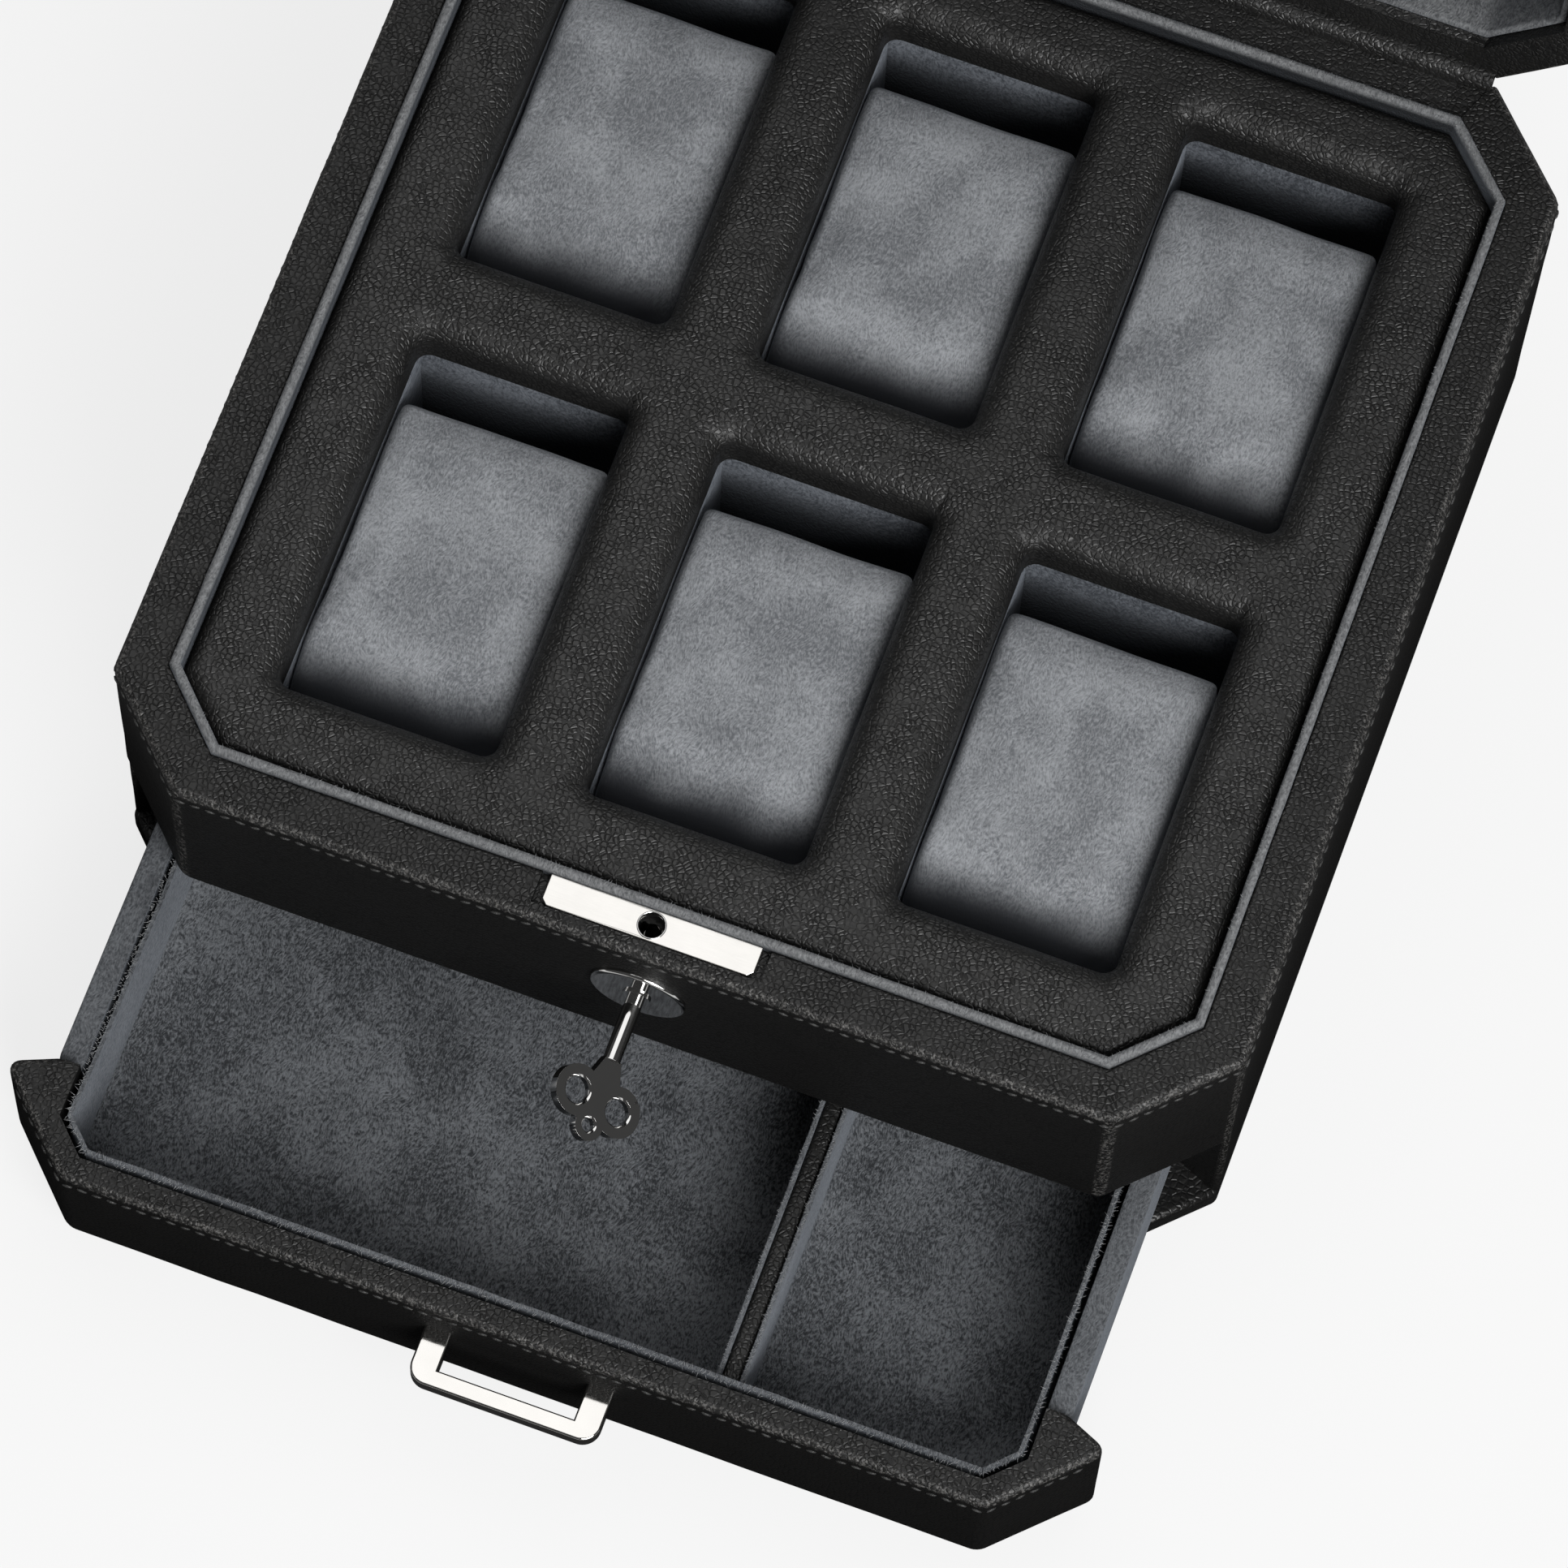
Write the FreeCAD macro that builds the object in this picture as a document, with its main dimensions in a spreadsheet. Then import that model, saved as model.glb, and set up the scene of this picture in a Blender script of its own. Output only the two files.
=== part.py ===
"""Leather watch box with six pillow pockets, a hinged lid, a lock and a drawer.

Lengths are millimetres and angles are degrees. The origin is the middle of the underside of
the base board, +X points right along the front, +Y to the back and +Z up. The lid stands open
and the drawer is drawn out, as the box is used.
"""
import FreeCAD
import Part
import Sketcher
import math
import os
from types import SimpleNamespace

SIZES = [
    # Case
    ("case_width", 242.0, "outer width of the case"),
    ("case_depth", 242.0, "outer depth of the case"),
    ("case_height", 93.0, "underside to the top of the rim"),
    ("corner_cut", 21.0, "leg of the cut corners"),
    ("wall_thick", 10.6, "covered wall boards"),
    ("base_thick", 7.0, "base board"),
    ("fascia_height", 50.5, "front board above the drawer"),
    ("shelf_thick", 4.0, "shelf between drawer and pockets"),
    ("edge_round", 1.6, "rounding of the covered edges"),
    ("felt_thick", 1.0, "felt let into the underside"),
    ("felt_inset", 6.0, "felt edge to base edge"),
    ("liner_thick", 2.0, "suede liner boards"),
    ("lip_proud", 1.8, "liner standing above the rim"),
    # Pockets, pad and pillows
    ("side_margin", 18.55, "bar beside the outer pockets"),
    ("front_margin", 18.1, "bar before the front pockets"),
    ("back_margin", 15.7, "bar behind the back pockets"),
    ("web_width", 19.6, "bar between two pockets"),
    ("tray_gap", 0.2, "tray to liner"),
    ("pad_drop", 1.5, "crown of the pad below the rim"),
    ("pad_thick", 11.5, "leather pad"),
    ("pad_round", 6.0, "roll of the pad into the windows"),
    ("pad_edge", 2.5, "roll of the pad along the liner"),
    ("window_round", 3.0, "corners of the windows"),
    ("pillow_spare", 7.8, "pillow shorter than its pocket"),
    ("pillow_height", 37.0, "pillow from its seat to the crown"),
    ("pillow_crown", 4.0, "rise of the crown"),
    ("pillow_gap", 0.3, "pillow to pocket"),
    ("pillow_front_round", 13.0, "roll at the front of a pillow"),
    ("pillow_back_round", 7.0, "roll at the back of a pillow"),
    ("pillow_foot_round", 7.0, "lower edges of a pillow"),
    ("pillow_side_round", 4.0, "drawn-in sides of a pillow"),
    # Lock and key
    ("plate_length", 45.0, "lock plate along the rim"),
    ("plate_width", 6.8, "lock plate across the rim"),
    ("plate_thick", 1.6, "lock plate"),
    ("plate_corner", 1.2, "cut corners of the lock plate"),
    ("plate_gap", 0.3, "lock plate and catch plate to their seats"),
    ("stud_hole", 5.5, "hole for the lid's stud"),
    ("lock_height", 72.5, "lock axis above the underside"),
    ("lock_width", 40.0, "lock case"),
    ("lock_below", 10.0, "lock case below the lock axis"),
    ("lock_wall", 1.0, "sheet of the lock case"),
    ("lock_depth", 7.6, "lock case into the fascia"),
    ("screw_head", 3.2, "small screw head diameter"),
    ("screw_rise", 1.0, "small screw head height"),
    ("screw_shank", 1.8, "small screw shank diameter"),
    ("lock_screw", 3.2, "lock screw shank length"),
    ("lock_screw_place", 15.0, "lock screws from the lock axis"),
    ("lock_screw_drop", 5.0, "lock screws below the lock axis"),
    ("disc_size", 20.5, "escutcheon diameter"),
    ("disc_thick", 1.2, "escutcheon"),
    ("disc_round", 0.72, "rounded rim of the escutcheon"),
    ("collar_size", 6.0, "plug where it shows"),
    ("collar_proud", 0.5, "plug beyond the escutcheon"),
    ("barrel_size", 9.0, "plug inside the front"),
    ("run_gap", 0.06, "radial clearance of turning fits"),
    ("crank_size", 11.0, "crank disc diameter"),
    ("crank_thick", 1.2, "crank disc"),
    ("crank_gap", 0.3, "crank disc to lock case"),
    ("pin_radius", 4.0, "crank pin from the lock axis"),
    ("pin_size", 2.0, "crank pin diameter"),
    ("pin_angle", 45.0, "crank pin left of upright when unlocked"),
    ("pin_gap", 0.3, "crank pin to the sides of its slot"),
    ("bolt_thick", 1.5, "fork of the bolt"),
    ("bolt_length", 20.0, "bolt along its travel"),
    ("bolt_drop", 5.0, "bolt below the rim"),
    ("tab_thick", 0.8, "hanging tab of the bolt"),
    ("tab_foot", 1.0, "tab below its slot"),
    ("tab_gap", 0.3, "bolt to liner and to lock case"),
    ("stud_size", 3.4, "lid stud diameter"),
    ("stud_neck", 2.2, "neck of the lid stud"),
    ("stud_head", 1.8, "head of the lid stud"),
    ("stud_tip", 0.6, "rounded end of the lid stud"),
    ("stud_gap", 0.4, "bolt to stud, each way"),
    ("key_angle", 35.5, "key turned from level"),
    ("key_shaft", 3.8, "key shaft diameter"),
    ("key_reach", 14.1, "collar to the shoulder of the bow"),
    ("blade_width", 3.0, "key blade"),
    ("blade_thick", 1.8, "key blade"),
    ("blade_length", 6.0, "key blade inside the plug"),
    ("blade_gap", 0.1, "key blade to its slot"),
    ("bow_thick", 2.2, "key bow"),
    ("bow_lobe", 5.3, "radius of the large lobes"),
    ("bow_spread", 5.2, "large holes from the key's axis"),
    ("bow_hole", 5.6, "large holes of the bow"),
    ("bow_tail", 5.3, "small hole behind the large ones"),
    ("bow_neck", 9.3, "shoulder to the large holes"),
    ("bow_ease", 0.35, "cut edges of the bow's holes"),
    ("tail_lobe", 3.3, "radius of the small lobe"),
    ("tail_hole", 2.9, "small hole of the bow"),
    # Lid and hinges
    ("lid_angle", 98.0, "lid angle from closed"),
    ("lid_rail", 30.0, "height of the lid's walls"),
    ("lid_board", 6.0, "lid's top board"),
    ("lid_round", 3.0, "rounding of the lid's top edge"),
    ("rim_gap", 0.3, "closed lid to rim"),
    ("lip_gap", 0.4, "case lip to lid walls"),
    ("lid_setback", 2.4, "lid liner behind the lid's rim"),
    ("lining_thick", 1.5, "suede panel under the lid's top"),
    ("catch_length", 28.0, "catch plate along the lid's rim"),
    ("catch_width", 6.0, "catch plate across the lid's rim"),
    ("catch_thick", 1.4, "catch plate"),
    ("stud_root", 2.8, "stud into the lid's front rail"),
    ("hinge_place", 62.0, "hinges from the middle"),
    ("hinge_length", 32.0, "hinge along its pin"),
    ("knuckle_size", 4.0, "hinge knuckle diameter"),
    ("knuckle_mid", 12.0, "length of the lid's knuckle"),
    ("knuckle_gap", 0.2, "between knuckles"),
    ("hinge_pin", 2.0, "hinge pin diameter"),
    ("leaf_thick", 1.0, "hinge leaf"),
    ("leaf_reach", 8.8, "hinge axis to the far edge of a leaf"),
    ("leaf_clear", 0.4, "leaf edge to the other leaf's knuckle"),
    ("leaf_root", 0.8, "end of a tongue from the hinge axis"),
    ("leaf_gap", 0.2, "leaf to its mortise"),
    ("back_relief", 3.2, "cut edge behind the knuckles"),
    ("strip_seat", 0.8, "depth of the seat for the leather strip"),
    ("strip_thick", 0.65, "leather hinge strip"),
    ("strip_end", 7.5, "end of the strip from the cut corner"),
    # Drawer
    ("drawer_out", 69.2, "how far the drawer is drawn out"),
    ("drawer_gap", 0.4, "drawer to case"),
    ("wing_gap", 1.0, "drawer wing to side wall, along each axis"),
    ("front_thick", 5.6, "drawer front"),
    ("side_thick", 5.2, "drawer sides"),
    ("side_drop", 3.0, "drawer sides below the drawer front"),
    ("drawer_tail", 26.6, "drawer back from the case's back"),
    ("bottom_thick", 3.0, "drawer bottom"),
    ("floor_thick", 0.8, "suede floor"),
    ("divider_place", 42.2, "drawer divider right of the middle"),
    ("divider_thick", 6.0, "drawer divider"),
    ("divider_drop", 5.0, "divider below the drawer front"),
    ("pull_width", 41.2, "drawer pull"),
    ("pull_height", 28.0, "drawer pull above the underside"),
    ("pull_reach", 11.8, "drawer pull from the front"),
    ("pull_leg", 5.8, "legs of the pull"),
    ("pull_bar", 3.8, "bar of the pull"),
    ("pull_thick", 4.0, "pull, top to underside"),
    ("pull_round", 4.0, "outer corners of the pull"),
    ("pull_ease", 0.5, "eased edges of the pull"),
    ("pull_screw", 8.0, "pull screw shank length"),
]


class Dim:
    """A size that carries its number and the sheet expression that drives it."""

    def __init__(self, number, text):
        self.number = number
        self.text = text

    def __add__(self, other):
        other = dim(other)
        return Dim(self.number + other.number, "(%s + %s)" % (self.text, other.text))

    def __sub__(self, other):
        other = dim(other)
        return Dim(self.number - other.number, "(%s - %s)" % (self.text, other.text))

    def __mul__(self, other):
        other = dim(other)
        return Dim(self.number * other.number, "%s * %s" % (self.text, other.text))

    def __truediv__(self, other):
        other = dim(other)
        return Dim(self.number / other.number, "%s / (%s)" % (self.text, other.text))

    def __neg__(self):
        return Dim(-self.number, "(-1 * %s)" % self.text)

    def __rmul__(self, other):
        return dim(other) * self

    def __radd__(self, other):
        return dim(other) + self

    def __rsub__(self, other):
        return dim(other) - self


def dim(item):
    """Return a size, or a plain number as a size."""
    if isinstance(item, Dim):
        return item
    return Dim(float(item), "(%s)" % float(item))


def sine(angle):
    """Return the sine of an angle in degrees."""
    return Dim(math.sin(math.radians(dim(angle).number)), "sin(%s)" % dim(angle).text)


def cosine(angle):
    """Return the cosine of an angle in degrees."""
    return Dim(math.cos(math.radians(dim(angle).number)), "cos(%s)" % dim(angle).text)


def tangent(angle):
    """Return the tangent of an angle in degrees."""
    return Dim(math.tan(math.radians(dim(angle).number)), "tan(%s)" % dim(angle).text)


def middle(first, second):
    """Return the value halfway between two others."""
    return (dim(first) + second) / 2


DOC = FreeCAD.newDocument("WatchBox")
SHEET = DOC.addObject("Spreadsheet::Sheet", "Sizes")
for row, (alias, number, meaning) in enumerate(SIZES, start=1):
    SHEET.set("A%d" % row, meaning)
    SHEET.set("B%d" % row, str(number))
    SHEET.setAlias("B%d" % row, alias)
DOC.recompute()
S = SimpleNamespace()
for alias, _, _ in SIZES:
    setattr(S, alias, Dim(float(SHEET.get(alias)), "Sizes." + alias))

PARTS = []

# Two places nearer than this are one place.
TOUCH = 1e-4

# Levels and places that several pieces share.
MITRE = tangent(22.5)
ROOT_TWO = dim(math.sqrt(2))
HALF_W = S.case_width / 2
HALF_D = S.case_depth / 2
FRONT_IN = S.wall_thick - HALF_D
SHELF_LOW = S.case_height - S.fascia_height
SHELF_TOP = SHELF_LOW + S.shelf_thick
PAD_LOW = S.case_height - S.pad_drop - S.pad_thick
TRAY_IN = S.wall_thick + S.liner_thick + S.tray_gap
POCKET_W = (S.case_width - 2 * TRAY_IN - 2 * S.side_margin - 2 * S.web_width) / 3
POCKET_L = (S.case_depth - 2 * TRAY_IN - S.front_margin - S.back_margin - S.web_width) / 2
POCKET_SHIFT = (S.front_margin - S.back_margin) / 2
PILLOW_L = POCKET_L - S.pillow_spare
COLUMN_PITCH = POCKET_W + S.web_width
ROW_PITCH = POCKET_L + S.web_width
LID_LOW = S.case_height + S.rim_gap
LID_RAIL_TOP = LID_LOW + S.lid_rail
LID_WALL = S.wall_thick - S.lip_gap
AXIS_Z = S.case_height + S.rim_gap / 2
STUD_Y = FRONT_IN - S.plate_width / 2
PLATE_LOW = S.case_height - S.plate_thick
LOCK_LOW = S.lock_height - S.lock_below
BOLT_TOP = S.case_height - S.bolt_drop
BOLT_LOW = BOLT_TOP - S.bolt_thick
KEY_FACE = S.disc_thick + S.collar_proud
CRANK_FRONT = S.wall_thick - S.lock_depth + S.lock_wall + S.crank_gap
DRAWER_LOW = S.base_thick + S.drawer_gap
DRAWER_TOP = SHELF_LOW - S.drawer_gap
DRAWER_HEIGHT = DRAWER_TOP - DRAWER_LOW
BOTTOM_TOP = DRAWER_LOW + S.bottom_thick
SIDE_OUT = HALF_W - S.wall_thick - S.drawer_gap
SIDE_IN = SIDE_OUT - S.side_thick
DRAWER_IN = S.front_thick - HALF_D
DRAWER_BACK = HALF_D - S.drawer_tail
DRAWER_BACK_IN = DRAWER_BACK - S.side_thick
WING_X = HALF_W - S.wing_gap
WING_Y = S.corner_cut - HALF_D - S.wing_gap
HEEL_Y = WING_Y + (WING_X - SIDE_OUT) * MITRE

WALLS = ["right", "rear_right", "back", "rear_left", "left", "front_left", "front", "front_right"]
POCKETS = {"front_left": (-1, -1), "front_middle": (0, -1), "front_right": (1, -1),
           "back_left": (-1, 1), "back_middle": (0, 1), "back_right": (1, 1)}


def new_body(label, many=False):
    """Start a sub-part, which may hold several separate solids."""
    body = DOC.addObject("PartDesign::Body", label)
    body.Label = label
    body.AllowCompound = many
    PARTS.append(body)
    return body


def new_sketch(body, role="XY_Plane", offset=0):
    """Start a sketch on one of the body's origin planes, moved along its normal."""
    sketch = body.newObject("Sketcher::SketchObject", body.Name + "_sketch")
    plane = [item for item in body.Origin.OriginFeatures if item.Role == role][0]
    sketch.AttachmentSupport = [(plane, "")]
    sketch.MapMode = "FlatFace"
    sketch.setExpression(".AttachmentOffset.Base.z", dim(offset).text)
    return sketch


def hold(sketch, link, size):
    """Add a dimension to a sketch and drive it from the sheet."""
    number = sketch.addConstraint(link)
    sketch.setExpression("Constraints[%d]" % number, dim(size).text)


def hold_point(sketch, geometry, end, place):
    """Hold one point of a sketch line, arc or circle at a place from the origin."""
    for kind, size in zip(("DistanceX", "DistanceY"), place):
        hold(sketch, Sketcher.Constraint(kind, -1, 1, geometry, end, dim(size).number), size)


def spot(x, y, z=0):
    """Return a point's present place."""
    return FreeCAD.Vector(dim(x).number, dim(y).number, dim(z).number)


def outline(sketch, points):
    """Draw a closed outline of straight lines through the points."""
    count = len(points)
    lines = []
    for index in range(count):
        line = Part.LineSegment(spot(*points[index]), spot(*points[(index + 1) % count]))
        lines.append(sketch.addGeometry(line))
    for index in range(count):
        after = lines[(index + 1) % count]
        sketch.addConstraint(Sketcher.Constraint("Coincident", lines[index], 2, after, 1))
    for index in range(count):
        hold_point(sketch, lines[index], 1, points[index])


def block(sketch, low_x, high_x, low_y, high_y):
    """Draw a rectangle between two pairs of lines."""
    outline(sketch, [(low_x, low_y), (high_x, low_y), (high_x, high_y), (low_x, high_y)])


def disc(sketch, centre, diameter):
    """Draw a circle."""
    size = dim(diameter).number
    circle = sketch.addGeometry(Part.Circle(spot(*centre), FreeCAD.Vector(0, 0, 1), size / 2))
    hold_point(sketch, circle, 3, centre)
    hold(sketch, Sketcher.Constraint("Diameter", circle, size), diameter)


def pad(body, sketch, length, reverse=False, both=False):
    """Extrude a sketch along its normal, against it, or half each way."""
    feature = body.newObject("PartDesign::Pad", body.Name + "_pad")
    feature.Profile = sketch
    feature.setExpression("Length", dim(length).text)
    feature.Reversed = reverse
    feature.Midplane = both
    DOC.recompute()
    return feature


def pocket(body, sketch, length, reverse=False):
    """Cut a sketch into the body and make sure that the cut takes something away."""
    before = body.Shape.Volume
    feature = body.newObject("PartDesign::Pocket", body.Name + "_pocket")
    feature.Profile = sketch
    feature.setExpression("Length", dim(length).text)
    feature.Reversed = reverse
    DOC.recompute()
    if body.Shape.Volume > before - TOUCH:
        raise RuntimeError("a cut in %s takes nothing away" % body.Label)
    return feature


def edges_where(feature, test):
    """Name the edges of a feature that pass a test."""
    return ["Edge%d" % number for number, edge in enumerate(feature.Shape.Edges, start=1) if test(edge)]


def edges_through(feature, *places):
    """Name the edges of a feature that pass through the given places."""
    points = [Part.Vertex(spot(*place)) for place in places]
    return edges_where(feature, lambda edge: any(edge.distToShape(point)[0] < TOUCH for point in points))


def ease(body, feature, names, size, kind="Fillet"):
    """Round or cut the named edges of a feature."""
    if not names:
        raise RuntimeError("no edge to ease on %s" % body.Label)
    eased = body.newObject("PartDesign::" + kind, body.Name + "_" + kind.lower())
    eased.Base = (feature, names)
    eased.setExpression("Size" if kind == "Chamfer" else "Radius", dim(size).text)
    DOC.recompute()
    return eased


def plate(label, points, low, height):
    """Make a flat piece from an outline, standing on a level."""
    body = new_body(label)
    sketch = new_sketch(body, "XY_Plane", low)
    outline(sketch, points)
    return body, pad(body, sketch, height)


def octagon(inset):
    """Return the case outline drawn in by a distance, anticlockwise from the right front."""
    half_x = HALF_W - inset
    half_y = HALF_D - inset
    cut_x = HALF_W - S.corner_cut - dim(inset) * MITRE
    cut_y = HALF_D - S.corner_cut - dim(inset) * MITRE
    return [(half_x, -cut_y), (half_x, cut_y), (cut_x, half_y), (-cut_x, half_y),
            (-half_x, cut_y), (-half_x, -cut_y), (-cut_x, -half_y), (cut_x, -half_y)]


def between(first, second, level):
    """Return the place halfway between two outline points, at a level."""
    return middle(first[0], second[0]), middle(first[1], second[1]), level


def wall_points(side, thick):
    """Return the mitred outline of one of the eight walls, its two outer points first."""
    index = WALLS.index(side)
    after = (index + 1) % len(WALLS)
    outer = octagon(0)
    inner = octagon(thick)
    return [outer[index], outer[after], inner[after], inner[index]]


def wall(label, side, thick, low, height, rounded):
    """Make one mitred wall board with its outer edge rounded at the given levels."""
    points = wall_points(side, thick)
    body, feature = plate(label, points, low, height)
    if rounded:
        places = [between(points[0], points[1], level) for level in rounded]
        ease(body, feature, edges_through(feature, *places), S.edge_round)
    return body, feature


def around(level):
    """Return the middle of each side of the case outline at a level."""
    corners = octagon(0)
    return [between(corners[index - 1], corners[index], level) for index in range(len(corners))]


def ring(label, inset, low, height):
    """Make an octagonal liner ring."""
    body = new_body(label)
    sketch = new_sketch(body, "XY_Plane", low)
    outline(sketch, octagon(inset))
    outline(sketch, octagon(inset + S.liner_thick))
    pad(body, sketch, height)
    return body


def turn(body, axis, angle, place_y, place_z):
    """Turn a piece about an axis through the origin, then move it."""
    body.Placement = FreeCAD.Placement(FreeCAD.Vector(), FreeCAD.Rotation(axis, 1))
    body.setExpression(".Placement.Rotation.Angle", angle.text)
    body.setExpression(".Placement.Base.y", place_y.text)
    body.setExpression(".Placement.Base.z", place_z.text)


def swing(body):
    """Stand a lid piece, modelled closed, at the angle where the lid rests open."""
    place_y = HALF_D - HALF_D * cosine(S.lid_angle) - AXIS_Z * sine(S.lid_angle)
    place_z = AXIS_Z + HALF_D * sine(S.lid_angle) - AXIS_Z * cosine(S.lid_angle)
    turn(body, FreeCAD.Vector(1, 0, 0), -S.lid_angle, place_y, place_z)


def set_in_lock(body):
    """Put a piece, modelled level about the lock axis, into the lock at the key's angle."""
    turn(body, FreeCAD.Vector(0, 1, 0), S.key_angle, -HALF_D, S.lock_height)


def draw_out(body):
    """Move a drawer piece, modelled closed, to where the drawer stands."""
    body.setExpression(".Placement.Base.y", (-S.drawer_out).text)


def make_base():
    """Base board with the felt let into its underside."""
    body, feature = plate("base_board", octagon(0), 0, S.base_thick)
    ease(body, feature, edges_through(feature, *around(0), *around(S.base_thick)), S.edge_round)
    seat = new_sketch(body)
    outline(seat, octagon(S.felt_inset))
    pocket(body, seat, S.felt_thick, reverse=True)
    plate("base_felt", octagon(S.felt_inset), 0, S.felt_thick)


def make_case_walls():
    """Side boards, rear corners and the front corners above the drawer."""
    full = S.case_height - S.base_thick
    for side in ("left", "right"):
        wall(side + "_side_board", side, S.wall_thick, S.base_thick, full, [S.case_height])
        wall("rear_%s_corner" % side, "rear_" + side, S.wall_thick, S.base_thick, full, [S.case_height])
        wall("front_%s_corner" % side, "front_" + side, S.wall_thick, SHELF_LOW, S.fascia_height,
             [S.case_height, SHELF_LOW])


def make_back_board():
    """Back board, lowered for the leather strip, with mortises for the hinge leaves."""
    top = S.case_height - S.strip_seat
    body, feature = wall("back_board", "back", S.wall_thick, S.base_thick, top - S.base_thick, [])
    ease(body, feature, edges_through(feature, (0, HALF_D, top)), S.back_relief, "Chamfer")
    cut_mortises(body, top - S.leaf_thick)


def cut_mortises(body, low):
    """Cut the seats of both hinge leaves through to the back."""
    sketch = new_sketch(body, "XY_Plane", low)
    reach = S.hinge_length / 2 + S.leaf_gap
    near = HALF_D - S.leaf_reach - S.leaf_gap
    for centre in (-S.hinge_place, S.hinge_place):
        block(sketch, centre - reach, centre + reach, near, HALF_D + S.back_relief)
    pocket(body, sketch, S.leaf_thick, reverse=True)


def make_fascia():
    """Front board above the drawer, with its seats for the lock."""
    body, _ = wall("front_fascia", "front", S.wall_thick, SHELF_LOW, S.fascia_height,
                   [S.case_height, SHELF_LOW])
    notch = new_sketch(body, "XY_Plane", PLATE_LOW)
    half = S.plate_length / 2 + S.plate_gap
    block(notch, -half, half, FRONT_IN - S.plate_width - S.plate_gap, FRONT_IN + S.wall_thick)
    pocket(body, notch, S.plate_thick, reverse=True)
    mortise = new_sketch(body, "XZ_Plane", -FRONT_IN)
    block(mortise, -S.lock_width / 2, S.lock_width / 2, LOCK_LOW, PLATE_LOW)
    pocket(body, mortise, S.lock_depth, reverse=True)
    bore = new_sketch(body, "XZ_Plane", HALF_D)
    disc(bore, (0, S.lock_height), S.barrel_size + 4 * S.run_gap)
    pocket(body, bore, S.wall_thick)
    holes = new_sketch(body, "XZ_Plane", S.lock_depth - FRONT_IN)
    for place in lock_screw_places():
        disc(holes, place, S.screw_shank)
    pocket(body, holes, S.lock_screw - S.lock_wall, reverse=True)


def make_tray():
    """Suede-covered bars between the pockets and the leather pad over them."""
    height = PAD_LOW - SHELF_TOP
    edge = octagon(TRAY_IN)
    half_x = edge[0][0]
    front = POCKET_SHIFT - ROW_PITCH / 2 - POCKET_L / 2
    back = POCKET_SHIFT + ROW_PITCH / 2 + POCKET_L / 2
    mid_front = POCKET_SHIFT - S.web_width / 2
    mid_back = POCKET_SHIFT + S.web_width / 2
    body = new_body("tray_long_bars", many=True)
    sketch = new_sketch(body, "XY_Plane", SHELF_TOP)
    outline(sketch, [edge[5], edge[6], edge[7], edge[0], (half_x, front), (-half_x, front)])
    outline(sketch, [edge[4], (-half_x, back), (half_x, back), edge[1], edge[2], edge[3]])
    block(sketch, -half_x, half_x, mid_front, mid_back)
    pad(body, sketch, height)
    body = new_body("tray_cross_bars", many=True)
    sketch = new_sketch(body, "XY_Plane", SHELF_TOP)
    near = POCKET_W / 2
    for low, high in ((near, near + S.web_width), (near + COLUMN_PITCH, half_x)):
        for first, last in ((low, high), (-high, -low)):
            block(sketch, first, last, front, mid_front)
            block(sketch, first, last, mid_back, back)
    pad(body, sketch, height)
    make_tray_pad()


def make_tray_pad():
    """Leather pad with six windows, rolling down into the pockets and along the liner."""
    body, feature = plate("tray_pad", octagon(TRAY_IN), PAD_LOW, S.pad_thick)
    windows = new_sketch(body, "XY_Plane", PAD_LOW)
    for centre_x, centre_y in (pocket_centre(name) for name in POCKETS):
        block(windows, centre_x - POCKET_W / 2, centre_x + POCKET_W / 2,
              centre_y - POCKET_L / 2, centre_y + POCKET_L / 2)
    feature = pocket(body, windows, S.pad_thick, reverse=True)
    half_x = (COLUMN_PITCH + POCKET_W / 2).number
    half_y = (ROW_PITCH / 2 + POCKET_L / 2).number
    crown = (PAD_LOW + S.pad_thick).number

    def window_corner(edge):
        box = edge.BoundBox
        upright = box.XLength < TOUCH and box.YLength < TOUCH
        return upright and abs(box.XMin) < half_x + TOUCH

    feature = ease(body, feature, edges_where(feature, window_corner), S.window_round)

    def at_liner(edge):
        middle = edge.CenterOfMass
        return abs(middle.x) > half_x + TOUCH or abs(middle.y - POCKET_SHIFT.number) > half_y + TOUCH

    def crown_edges(test):
        return edges_where(feature, lambda edge: abs(edge.BoundBox.ZMin - crown) < TOUCH and test(edge))

    feature = ease(body, feature, crown_edges(at_liner), S.pad_edge)
    ease(body, feature, crown_edges(lambda edge: not at_liner(edge)), S.pad_round)


def pocket_centre(name):
    """Return the middle of a pocket."""
    column, row = POCKETS[name]
    return column * COLUMN_PITCH, POCKET_SHIFT + row * ROW_PITCH / 2


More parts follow.
